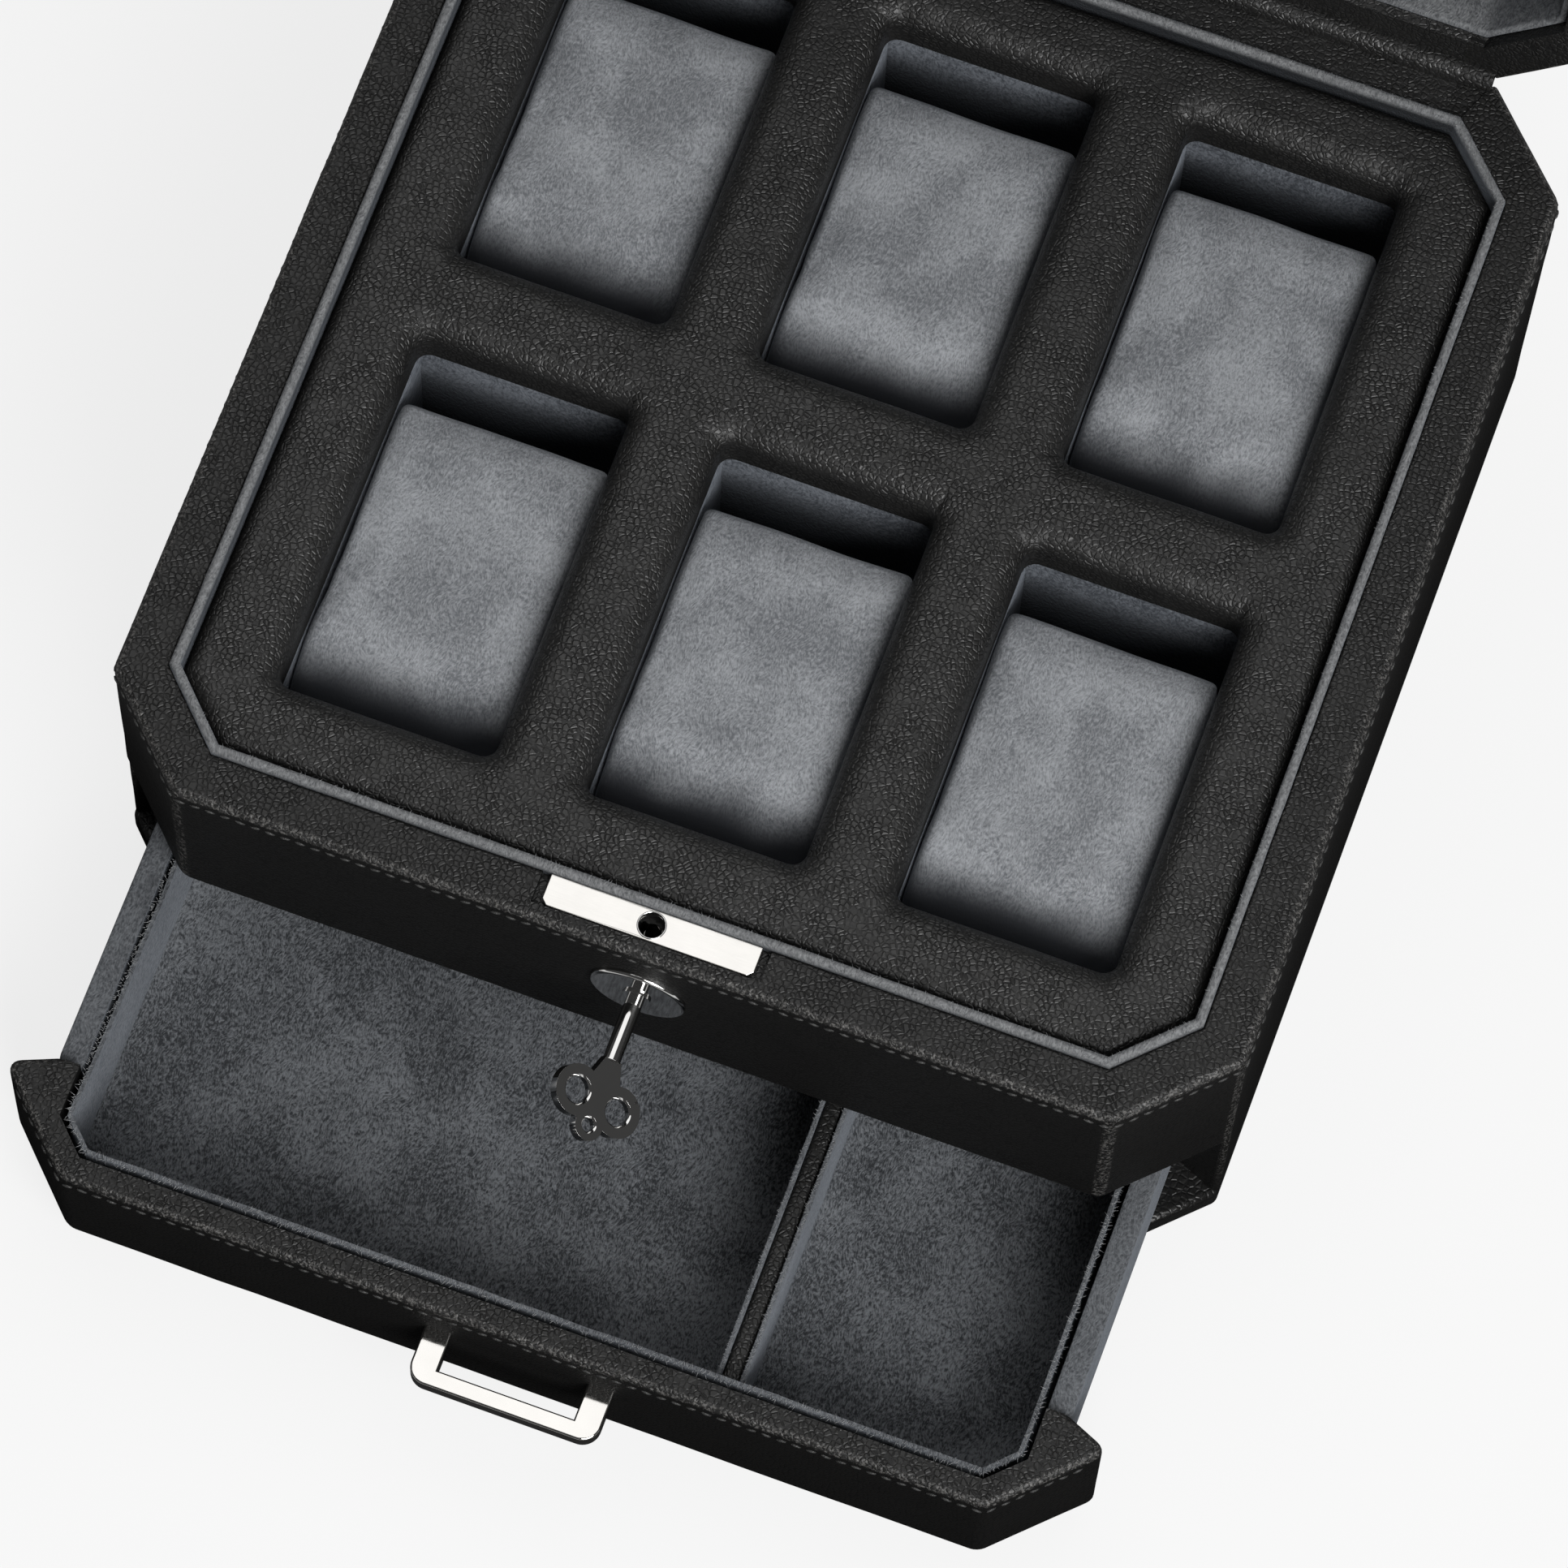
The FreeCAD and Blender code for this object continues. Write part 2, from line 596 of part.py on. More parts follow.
def make_pillow(name):
    """Soft pillow with a crown, rolled ends and drawn-in sides, pushed to its pocket's front."""
    body = new_body("pillow_" + name)
    sketch = new_sketch(body, "YZ_Plane")
    shoulder = S.pillow_height - S.pillow_crown
    draw_pillow(sketch, shoulder)
    feature = pad(body, sketch, POCKET_W - 2 * S.pillow_gap, both=True)
    feature = ease(body, feature, edges_through(feature, (0, 0, shoulder)), S.pillow_front_round)
    rear = edges_through(feature, (0, PILLOW_L, shoulder))
    feature = ease(body, feature, rear, S.pillow_back_round)
    foot = edges_through(feature, (0, 0, 0), (0, PILLOW_L, 0))
    feature = ease(body, feature, foot, S.pillow_foot_round)
    half = (POCKET_W / 2 - S.pillow_gap).number

    def at_side(edge):
        box = edge.BoundBox
        return abs(abs(box.XMin) - half) < TOUCH and box.XLength < TOUCH

    ease(body, feature, edges_where(feature, at_side), S.pillow_side_round)
    centre_x, centre_y = pocket_centre(name)
    body.setExpression(".Placement.Base.x", centre_x.text)
    body.setExpression(".Placement.Base.y", (centre_y + S.pillow_gap - POCKET_L / 2).text)
    body.setExpression(".Placement.Base.z", (SHELF_TOP + S.pillow_gap).text)


def draw_pillow(sketch, shoulder):
    """Draw a pillow's side view: three straight sides and a crowned top."""
    corners = [(0, shoulder), (0, 0), (PILLOW_L, 0), (PILLOW_L, shoulder)]
    lines = []
    for first, second in zip(corners, corners[1:]):
        lines.append(sketch.addGeometry(Part.LineSegment(spot(*first), spot(*second))))
    crown = spot(PILLOW_L / 2, S.pillow_height)
    arc = sketch.addGeometry(Part.Arc(spot(*corners[3]), crown, spot(*corners[0])))
    for first, second in zip(lines + [arc], lines[1:] + [arc, lines[0]]):
        sketch.addConstraint(Sketcher.Constraint("Coincident", first, 2, second, 1))
    for line, corner in zip(lines, corners):
        hold_point(sketch, line, 1, corner)
    hold_point(sketch, lines[2], 2, corners[3])
    radius = PILLOW_L * PILLOW_L / (8 * S.pillow_crown) + S.pillow_crown / 2
    hold(sketch, Sketcher.Constraint("Radius", arc, radius.number), radius)


def make_lock_plate():
    """Lock plate let into the rim over the lock case."""
    half = S.plate_length / 2
    front = FRONT_IN - S.plate_width
    cut = S.plate_corner
    points = [(-half, FRONT_IN), (-half, front + cut), (cut - half, front), (half - cut, front),
              (half, front + cut), (half, FRONT_IN)]
    body, _ = plate("lock_plate", points, PLATE_LOW, S.plate_thick)
    hole = new_sketch(body, "XY_Plane", PLATE_LOW)
    disc(hole, (0, STUD_Y), S.stud_hole)
    pocket(body, hole, S.plate_thick, reverse=True)


def lock_screw_places():
    """Return where the lock screws pass the lock case, across and up."""
    level = S.lock_height - S.lock_screw_drop
    return [(-S.lock_screw_place, level), (S.lock_screw_place, level)]


def make_lock_case():
    """Sheet-metal lock case, open to the liner and under the plate, and its screws."""
    body = new_body("lock_case")
    sketch = new_sketch(body, "XZ_Plane", -FRONT_IN)
    block(sketch, -S.lock_width / 2, S.lock_width / 2, LOCK_LOW, PLATE_LOW)
    pad(body, sketch, S.lock_depth)
    cavity = new_sketch(body, "XZ_Plane", -FRONT_IN)
    half = S.lock_width / 2 - S.lock_wall
    block(cavity, -half, half, LOCK_LOW + S.lock_wall, PLATE_LOW + S.lock_wall)
    pocket(body, cavity, S.lock_depth - S.lock_wall, reverse=True)
    bores = new_sketch(body, "XZ_Plane", S.lock_depth - FRONT_IN)
    disc(bores, (0, S.lock_height), S.barrel_size + 2 * S.run_gap)
    for place in lock_screw_places():
        disc(bores, place, S.screw_shank)
    pocket(body, bores, S.lock_wall)
    seat = S.lock_depth - S.lock_wall - FRONT_IN
    make_screws("lock_screws", seat, lock_screw_places(), S.lock_screw)


def make_screws(label, seat, places, length):
    """Make a pair of small screws driven forward, their heads behind the seat."""
    body = new_body(label, many=True)
    heads = new_sketch(body, "XZ_Plane", seat)
    for place in places:
        disc(heads, place, S.screw_head)
    pad(body, heads, S.screw_rise, reverse=True)
    shanks = new_sketch(body, "XZ_Plane", seat)
    for place in places:
        disc(shanks, place, S.screw_shank)
    pad(body, shanks, length)
    return body


def make_escutcheon():
    """Round plate on the front, with the plug showing through it."""
    body = new_body("escutcheon")
    sketch = new_sketch(body, "XZ_Plane", HALF_D)
    disc(sketch, (0, S.lock_height), S.disc_size)
    disc(sketch, (0, S.lock_height), S.collar_size + 2 * S.run_gap)
    feature = pad(body, sketch, S.disc_thick)
    rim = edges_through(feature, (S.disc_size / 2, -HALF_D - S.disc_thick, S.lock_height))
    ease(body, feature, rim, S.disc_round)


def make_plug():
    """Lock plug with its collar, crank pin and the slot for the key."""
    body = new_body("lock_plug")
    barrel = new_sketch(body, "XZ_Plane")
    disc(barrel, (0, 0), S.barrel_size)
    pad(body, barrel, CRANK_FRONT, reverse=True)
    collar = new_sketch(body, "XZ_Plane")
    disc(collar, (0, 0), S.collar_size)
    pad(body, collar, KEY_FACE)
    crank = new_sketch(body, "XZ_Plane", -CRANK_FRONT)
    disc(crank, (0, 0), S.crank_size)
    pad(body, crank, S.crank_thick, reverse=True)
    pin = new_sketch(body, "XZ_Plane", -CRANK_FRONT)
    angle = -S.pin_angle - S.key_angle
    disc(pin, (S.pin_radius * sine(angle), S.pin_radius * cosine(angle)), S.pin_size)
    pad(body, pin, S.wall_thick - CRANK_FRONT - S.tab_gap, reverse=True)
    slot = new_sketch(body, "XZ_Plane", KEY_FACE)
    half = S.blade_width / 2 + S.blade_gap
    rise = S.blade_thick / 2 + S.blade_gap
    block(slot, -half, half, -rise, rise)
    pocket(body, slot, S.blade_length + S.blade_gap)
    set_in_lock(body)


def make_bolt():
    """Sliding bolt: a fork round the stud's neck and a tab that the crank pin drives."""
    body = new_body("lock_bolt")
    profile = new_sketch(body, "YZ_Plane")
    back = FRONT_IN - S.tab_gap
    inner = back - S.tab_thick
    front = FRONT_IN - S.lock_depth + S.lock_wall + S.tab_gap
    slot_low = S.lock_height + S.pin_radius * cosine(S.pin_angle) - S.pin_size / 2 - S.pin_gap
    slot_high = S.lock_height + S.pin_radius + S.pin_size / 2 + S.pin_gap
    foot = slot_low - S.tab_foot
    outline(profile, [(back, foot), (back, BOLT_TOP), (front, BOLT_TOP), (front, BOLT_LOW),
                      (inner, BOLT_LOW), (inner, foot)])
    pad(body, profile, S.bolt_length, both=True)
    throat = new_sketch(body, "XY_Plane", BOLT_LOW)
    disc(throat, (0, STUD_Y), S.stud_size + 2 * S.stud_gap)
    pocket(body, throat, S.bolt_thick, reverse=True)
    travel = 2 * S.pin_radius * sine(S.pin_angle)
    half = S.stud_neck / 2 + S.stud_gap
    slot = new_sketch(body, "XY_Plane", BOLT_LOW)
    block(slot, -travel - half, 0, STUD_Y - half, STUD_Y + half)
    pocket(body, slot, S.bolt_thick, reverse=True)
    drive = new_sketch(body, "XZ_Plane", -back)
    width = S.pin_size / 2 + S.pin_gap
    block(drive, -travel / 2 - width, width - travel / 2, slot_low, slot_high)
    pocket(body, drive, S.tab_thick, reverse=True)


def make_key():
    """Key with a flat blade, a round shaft and a bow of three lobes with a hole in each."""
    body = new_body("key")
    blade = new_sketch(body, "XZ_Plane", KEY_FACE)
    block(blade, -S.blade_width / 2, S.blade_width / 2, -S.blade_thick / 2, S.blade_thick / 2)
    pad(body, blade, S.blade_length, reverse=True)
    shaft = new_sketch(body, "XZ_Plane", KEY_FACE)
    disc(shaft, (0, 0), S.key_shaft)
    pad(body, shaft, S.key_reach + S.bow_ease)
    shoulder = -KEY_FACE - S.key_reach
    holes_y = shoulder - S.bow_neck
    tail_y = holes_y - S.bow_tail
    neck = new_sketch(body, "XY_Plane", -S.bow_thick / 2)
    outline(neck, [(-S.key_shaft / 2, shoulder), (S.key_shaft / 2, shoulder), (S.bow_spread, holes_y),
                   (S.tail_lobe, tail_y), (-S.tail_lobe, tail_y), (-S.bow_spread, holes_y)])
    pad(body, neck, S.bow_thick)
    lobes = [(-S.bow_spread, holes_y, S.bow_lobe, S.bow_hole),
             (S.bow_spread, holes_y, S.bow_lobe, S.bow_hole),
             (0, tail_y, S.tail_lobe, S.tail_hole)]
    for x, y, radius, _ in lobes:
        lobe = new_sketch(body, "XY_Plane", -S.bow_thick / 2)
        disc(lobe, (x, y), 2 * radius)
        pad(body, lobe, S.bow_thick)
    for x, y, _, hole in lobes:
        cut = new_sketch(body, "XY_Plane", -S.bow_thick / 2)
        disc(cut, (x, y), hole)
        feature = pocket(body, cut, S.bow_thick, reverse=True)
    radii = [S.bow_hole.number / 2, S.tail_hole.number / 2]

    def hole_rim(edge):
        curve = edge.Curve
        return hasattr(curve, "Radius") and any(abs(curve.Radius - radius) < TOUCH for radius in radii)

    ease(body, feature, edges_where(feature, hole_rim), S.bow_ease, "Chamfer")
    set_in_lock(body)


def make_lid():
    """Lid walls, top board, liner and suede panel."""
    for side in ("left", "right"):
        swing(wall("lid_%s_rail" % side, side, LID_WALL, LID_LOW, S.lid_rail, [LID_LOW])[0])
        for end in ("front", "rear"):
            name = "%s_%s" % (end, side)
            swing(wall("lid_%s_corner" % name, name, LID_WALL, LID_LOW, S.lid_rail, [LID_LOW])[0])
    body, _ = wall("lid_front_rail", "front", LID_WALL, LID_LOW, S.lid_rail, [LID_LOW])
    seat = new_sketch(body, "XY_Plane", LID_LOW)
    draw_catch(seat, S.plate_gap)
    pocket(body, seat, S.catch_thick, reverse=True)
    socket = new_sketch(body, "XY_Plane", LID_LOW)
    disc(socket, (0, STUD_Y), S.stud_size)
    pocket(body, socket, S.stud_root, reverse=True)
    swing(body)
    low = LID_LOW + S.strip_seat
    body, feature = wall("lid_back_rail", "back", LID_WALL, low, S.lid_rail - S.strip_seat, [])
    ease(body, feature, edges_through(feature, (0, HALF_D, low)), S.back_relief, "Chamfer")
    cut_mortises(body, low)
    swing(body)
    body, feature = plate("lid_top_board", octagon(0), LID_RAIL_TOP, S.lid_board)
    ease(body, feature, edges_through(feature, *around(LID_RAIL_TOP + S.lid_board)), S.lid_round)
    swing(body)
    liner_height = S.lid_rail - S.lid_setback - S.lining_thick
    swing(ring("lid_liner", LID_WALL, LID_LOW + S.lid_setback, liner_height))
    swing(plate("lid_lining", octagon(LID_WALL), LID_RAIL_TOP - S.lining_thick, S.lining_thick)[0])


def draw_catch(sketch, gap):
    """Draw the catch plate's outline, larger by a gap."""
    half = S.catch_length / 2 + gap
    reach = S.catch_width / 2 + gap
    block(sketch, -half, half, STUD_Y - reach, STUD_Y + reach)


def make_catch():
    """Catch plate in the lid's front rail and the stud that drops into the lock."""
    body = new_body("catch_plate")
    sketch = new_sketch(body, "XY_Plane", LID_LOW)
    draw_catch(sketch, 0)
    disc(sketch, (0, STUD_Y), S.stud_size)
    pad(body, sketch, S.catch_thick)
    swing(body)
    body = new_body("catch_stud")
    shank_low = BOLT_TOP + S.stud_gap
    head_top = BOLT_LOW - S.stud_gap
    shank = new_sketch(body, "XY_Plane", shank_low)
    disc(shank, (0, STUD_Y), S.stud_size)
    pad(body, shank, LID_LOW + S.stud_root - shank_low)
    neck = new_sketch(body, "XY_Plane", head_top)
    disc(neck, (0, STUD_Y), S.stud_neck)
    pad(body, neck, shank_low - head_top)
    head = new_sketch(body, "XY_Plane", head_top)
    disc(head, (0, STUD_Y), S.stud_size)
    feature = pad(body, head, S.stud_head, reverse=True)
    tip = edges_through(feature, (S.stud_size / 2, STUD_Y, head_top - S.stud_head))
    ease(body, feature, tip, S.stud_tip)
    swing(body)


def make_hinges():
    """Two butt hinges: leaves for the case and the lid, and their pins."""
    end = S.hinge_length / 2
    near = S.knuckle_mid / 2 + S.knuckle_gap
    case_low = S.case_height - S.strip_seat - S.leaf_thick
    make_leaves("hinge_case_leaves", case_low, [(-end, -near), (near, end)])
    lid_knuckle = [(-S.knuckle_mid / 2, S.knuckle_mid / 2)]
    swing(make_leaves("hinge_lid_leaves", LID_LOW + S.strip_seat, lid_knuckle))
    body = new_body("hinge_pins", many=True)
    for centre in (-S.hinge_place, S.hinge_place):
        pin = new_sketch(body, "YZ_Plane", centre - end)
        disc(pin, (HALF_D, AXIS_Z), S.hinge_pin)
        pad(body, pin, S.hinge_length)


def make_leaves(label, low, knuckles):
    """Make the left and right leaf of one side, each with its own knuckles."""
    body = new_body(label, many=True)
    end = S.hinge_length / 2
    edge = HALF_D - S.knuckle_size / 2 - S.leaf_clear
    for centre in (-S.hinge_place, S.hinge_place):
        leaf = new_sketch(body, "XY_Plane", low)
        block(leaf, centre - end, centre + end, HALF_D - S.leaf_reach, edge)
        pad(body, leaf, S.leaf_thick)
        for first, last in knuckles:
            tongue = new_sketch(body, "XY_Plane", low)
            block(tongue, centre + first, centre + last, edge, HALF_D - S.leaf_root)
            pad(body, tongue, S.leaf_thick)
            barrel = new_sketch(body, "YZ_Plane", centre + first)
            disc(barrel, (HALF_D, AXIS_Z), S.knuckle_size)
            pad(body, barrel, last - first)
    for centre in (-S.hinge_place, S.hinge_place):
        bore = new_sketch(body, "YZ_Plane", centre - end)
        disc(bore, (HALF_D, AXIS_Z), S.hinge_pin + 2 * S.run_gap)
        pocket(body, bore, S.hinge_length, reverse=True)
    return body


def make_strip():
    """Leather strip over the hinges: one half on the case, one on the lid."""
    half = HALF_W - S.corner_cut - S.strip_end
    reach = HALF_D - S.back_relief
    for label, wall_in, low in (("hinge_strip_case", S.wall_thick, S.case_height - S.strip_seat),
                                ("hinge_strip_lid", LID_WALL, LID_LOW + S.strip_seat - S.strip_thick)):
        near = HALF_D - wall_in
        points = [(-half, near), (half, near), (half, reach), (-half, reach)]
        body, _ = plate(label, points, low, S.strip_thick)
    swing(body)


def drawer_inner(thick):
    """Return the right corner of the drawer's inner outline, drawn in by a thickness."""
    side = SIDE_IN - thick
    front = DRAWER_IN + thick
    line = HALF_W + HALF_D - S.corner_cut - (S.front_thick + thick) * ROOT_TWO
    return [(side, side - line), (line + front, front)]


def mirrored(points):
    """Return an outline carried to the other side."""
    return [(-dim(x), y) for x, y in points]


def make_drawer_front():
    """Drawer front with its screw holes, and the wings that cover the cut corners."""
    points = wall_points("front", S.front_thick)
    body, feature = plate("drawer_front", points, DRAWER_LOW, DRAWER_HEIGHT)
    places = [between(points[0], points[1], level) for level in (DRAWER_TOP, DRAWER_LOW)]
    ease(body, feature, edges_through(feature, *places), S.edge_round)
    holes = new_sketch(body, "XZ_Plane", HALF_D)
    for place in pull_legs():
        disc(holes, place, S.screw_shank)
    pocket(body, holes, S.front_thick)
    sinks = new_sketch(body, "XZ_Plane", -DRAWER_IN)
    for place in pull_legs():
        disc(sinks, place, S.screw_head)
    pocket(body, sinks, S.screw_rise, reverse=True)
    draw_out(body)
    right = [octagon(0)[7], (WING_X, WING_Y), (SIDE_OUT, HEEL_Y), (SIDE_IN, HEEL_Y)] + drawer_inner(0)
    for side, points in (("right", right), ("left", mirrored(right))):
        body, feature = plate("drawer_%s_wing" % side, points, DRAWER_LOW, DRAWER_HEIGHT)
        places = [between(points[0], points[1], level) for level in (DRAWER_TOP, DRAWER_LOW)]
        places.append((points[1][0], points[1][1], middle(DRAWER_LOW, DRAWER_TOP)))
        ease(body, feature, edges_through(feature, *places), S.edge_round)
        draw_out(body)


def make_drawer_box():
    """Drawer sides, back, bottom and divider."""
    side_height = DRAWER_HEIGHT - S.side_drop
    right = [(SIDE_IN, HEEL_Y), (SIDE_OUT, HEEL_Y), (SIDE_OUT, DRAWER_BACK), (SIDE_IN, DRAWER_BACK)]
    for side, points in (("right", right), ("left", mirrored(right))):
        draw_out(plate("drawer_%s_side" % side, points, DRAWER_LOW, side_height)[0])
    back = [(-SIDE_IN, DRAWER_BACK_IN), (SIDE_IN, DRAWER_BACK_IN), (SIDE_IN, DRAWER_BACK),
            (-SIDE_IN, DRAWER_BACK)]
    draw_out(plate("drawer_back", back, DRAWER_LOW, side_height)[0])
    corner, toe = drawer_inner(0)
    bottom = [corner, (SIDE_IN, DRAWER_BACK_IN)]
    bottom += mirrored(bottom[::-1]) + mirrored([toe]) + [toe]
    draw_out(plate("drawer_bottom", bottom, DRAWER_LOW, S.bottom_thick)[0])
    low = S.divider_place - S.divider_thick / 2
    high = S.divider_place + S.divider_thick / 2
    front = DRAWER_IN + S.liner_thick
    divider = [(low, front), (high, front), (high, DRAWER_BACK_IN), (low, DRAWER_BACK_IN)]
    draw_out(plate("drawer_divider", divider, BOTTOM_TOP, DRAWER_TOP - S.divider_drop - BOTTOM_TOP)[0])


def make_drawer_lining():
    """Suede liner behind the drawer front and suede floors on both sides of the divider."""
    near = [(SIDE_IN, HEEL_Y)] + drawer_inner(0)
    far = [(SIDE_IN - S.liner_thick, HEEL_Y)] + drawer_inner(S.liner_thick)
    liner = near + mirrored(near[::-1]) + mirrored(far) + far[::-1]
    draw_out(plate("drawer_liner", liner, BOTTOM_TOP, DRAWER_TOP - BOTTOM_TOP)[0])
    heel, corner, toe = far
    low = S.divider_place - S.divider_thick / 2
    high = S.divider_place + S.divider_thick / 2
    right = [toe, corner, heel, (SIDE_IN, HEEL_Y), (SIDE_IN, DRAWER_BACK_IN)]
    left = mirrored(right[::-1])
    body = new_body("drawer_floor", many=True)
    sketch = new_sketch(body, "XY_Plane", BOTTOM_TOP)
    outline(sketch, right + [(high, DRAWER_BACK_IN), (high, toe[1])])
    outline(sketch, left + [(low, toe[1]), (low, DRAWER_BACK_IN)])
    pad(body, sketch, S.floor_thick)
    draw_out(body)


def pull_legs():
    """Return where the legs of the pull meet the drawer front, across and up."""
    reach = S.pull_width / 2 - S.pull_leg / 2
    return [(-reach, S.pull_height), (reach, S.pull_height)]


def make_pull():
    """Drawer pull, held by screws from inside the drawer front."""
    body = new_body("drawer_pull")
    low = S.pull_height - S.pull_thick / 2
    sketch = new_sketch(body, "XY_Plane", low)
    face = -HALF_D
    tip = face - S.pull_reach
    bar = tip + S.pull_bar
    half = S.pull_width / 2
    gap = half - S.pull_leg
    outline(sketch, [(-half, face), (-half, tip), (half, tip), (half, face), (gap, face), (gap, bar),
                     (-gap, bar), (-gap, face)])
    feature = pad(body, sketch, S.pull_thick)
    corners = edges_through(feature, (half, tip, S.pull_height), (-half, tip, S.pull_height))
    feature = ease(body, feature, corners, S.pull_round)

    def on_rim(edge):
        box = edge.BoundBox
        rise = abs(box.ZMin - S.pull_height.number)
        level = box.ZLength < TOUCH and abs(rise - S.pull_thick.number / 2) < TOUCH
        return level and box.YMin < face.number - TOUCH

    ease(body, feature, edges_where(feature, on_rim), S.pull_ease)
    holes = new_sketch(body, "XZ_Plane", HALF_D)
    for place in pull_legs():
        disc(holes, place, S.screw_shank)
    pocket(body, holes, S.pull_screw - S.front_thick + S.screw_rise, reverse=True)
    draw_out(body)
    draw_out(make_screws("pull_screws", S.screw_rise - DRAWER_IN, pull_legs(), S.pull_screw))


def check_and_write():
    """Stop if anything failed to build, then write one file for each sub-part."""
    DOC.recompute()
    for item in DOC.Objects:
        if "Invalid" in item.State or "Error" in item.State:
            raise RuntimeError("%s did not build: %s" % (item.Label, item.State))
    for body in PARTS:
        if body.Shape.isNull() or not body.Shape.isValid():
            raise RuntimeError("%s has no valid shape" % body.Label)
    os.makedirs("parts", exist_ok=True)
    for body in PARTS:
        body.Shape.exportStep(os.path.join("parts", body.Label + ".step"))
    print("%d sub-parts" % len(PARTS))


make_base()
make_case_walls()
make_back_board()
make_fascia()
plate("shelf_board", octagon(S.wall_thick), SHELF_LOW, S.shelf_thick)
ring("case_liner", S.wall_thick, SHELF_TOP, S.case_height + S.lip_proud - SHELF_TOP)
make_tray()
for pillow in POCKETS:
    make_pillow(pillow)
make_lock_plate()
make_lock_case()
make_escutcheon()
make_plug()
make_bolt()
make_key()
make_lid()
make_catch()
make_hinges()
make_strip()
make_drawer_front()
make_drawer_box()
make_drawer_lining()
make_pull()
check_and_write()
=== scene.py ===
"""Watch box: leather over boards, suede linings, a padded tray, pillows and bright metal fittings.

Shapes are worked in millimetres and handed to Blender in metres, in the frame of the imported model:
origin under the middle of the base, +X right along the front, +Y to the back, +Z up.
"""

import logging
import math
import random
from dataclasses import dataclass
from enum import Enum
from typing import Callable, Iterable, Iterator, Optional, Sequence

import bmesh
import bpy
from mathutils import Matrix, Vector, noise


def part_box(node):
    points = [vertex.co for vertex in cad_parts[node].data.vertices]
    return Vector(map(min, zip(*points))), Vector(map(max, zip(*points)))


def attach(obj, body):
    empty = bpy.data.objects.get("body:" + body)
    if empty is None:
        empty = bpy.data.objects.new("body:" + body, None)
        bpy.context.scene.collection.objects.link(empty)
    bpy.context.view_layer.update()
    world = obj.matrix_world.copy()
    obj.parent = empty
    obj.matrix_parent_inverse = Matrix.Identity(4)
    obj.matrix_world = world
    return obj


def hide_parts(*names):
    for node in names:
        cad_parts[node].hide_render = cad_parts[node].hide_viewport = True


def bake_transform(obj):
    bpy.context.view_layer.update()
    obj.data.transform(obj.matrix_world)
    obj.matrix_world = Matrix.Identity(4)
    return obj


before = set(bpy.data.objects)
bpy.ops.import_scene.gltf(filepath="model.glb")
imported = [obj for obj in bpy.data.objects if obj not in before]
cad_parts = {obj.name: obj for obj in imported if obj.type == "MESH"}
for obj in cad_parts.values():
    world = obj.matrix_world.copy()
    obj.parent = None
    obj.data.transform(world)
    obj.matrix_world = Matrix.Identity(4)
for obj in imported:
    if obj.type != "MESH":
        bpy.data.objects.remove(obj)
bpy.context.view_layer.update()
LOG = logging.getLogger("watch_box")

MM = 0.001
# Distance under which two places are one, in millimetres.
NEAR = 1e-3
# Decimals of a millimetre to which a sorted mesh is rounded.
SPOT_DIGITS = 3

Colour = tuple[float, float, float]
Point = tuple[float, float]
Place = tuple[float, float, float]
Piece = bpy.types.Object
Mesh = bpy.types.Mesh
Material = bpy.types.Material
Node = bpy.types.Node
Socket = bpy.types.NodeSocket
Vert = bmesh.types.BMVert
Edge = bmesh.types.BMEdge
Face = bmesh.types.BMFace


def ease(value: float, low: float, high: float) -> float:
    """Return 0 below a range, 1 above it and a smooth rise between."""
    share = max(0.0, min(1.0, (value - low) / (high - low)))
    return share * share * (3 - 2 * share)


def oblong(left: float, right: float, front: float, back: float) -> list[Point]:
    """Return the corners of an oblong, anticlockwise from its front left."""
    return [(left, front), (right, front), (right, back), (left, back)]


def verts_of(made: Iterable[object]) -> list[Vert]:
    """Return the vertices among what an operator made."""
    return [item for item in made if isinstance(item, Vert)]


class Body(Enum):
    """The moving bodies that new pieces ride on."""

    CASE = "case"
    LID = "lid"
    DRAWER = "drawer"


class Slot(Enum):
    """Material slots of the record."""

    CASE_LEATHER = "case_leather"
    PAD_LEATHER = "pad_leather"
    STRIP_LEATHER = "strip_leather"
    PILLOW_SUEDE = "pillow_suede"
    LINER_SUEDE = "liner_suede"
    DRAWER_SUEDE = "drawer_suede"
    FELT = "felt"
    CHROME = "chrome"


class Axis(Enum):
    """Directions in which a shape is sliced."""

    X = 0
    Y = 1
    Z = 2


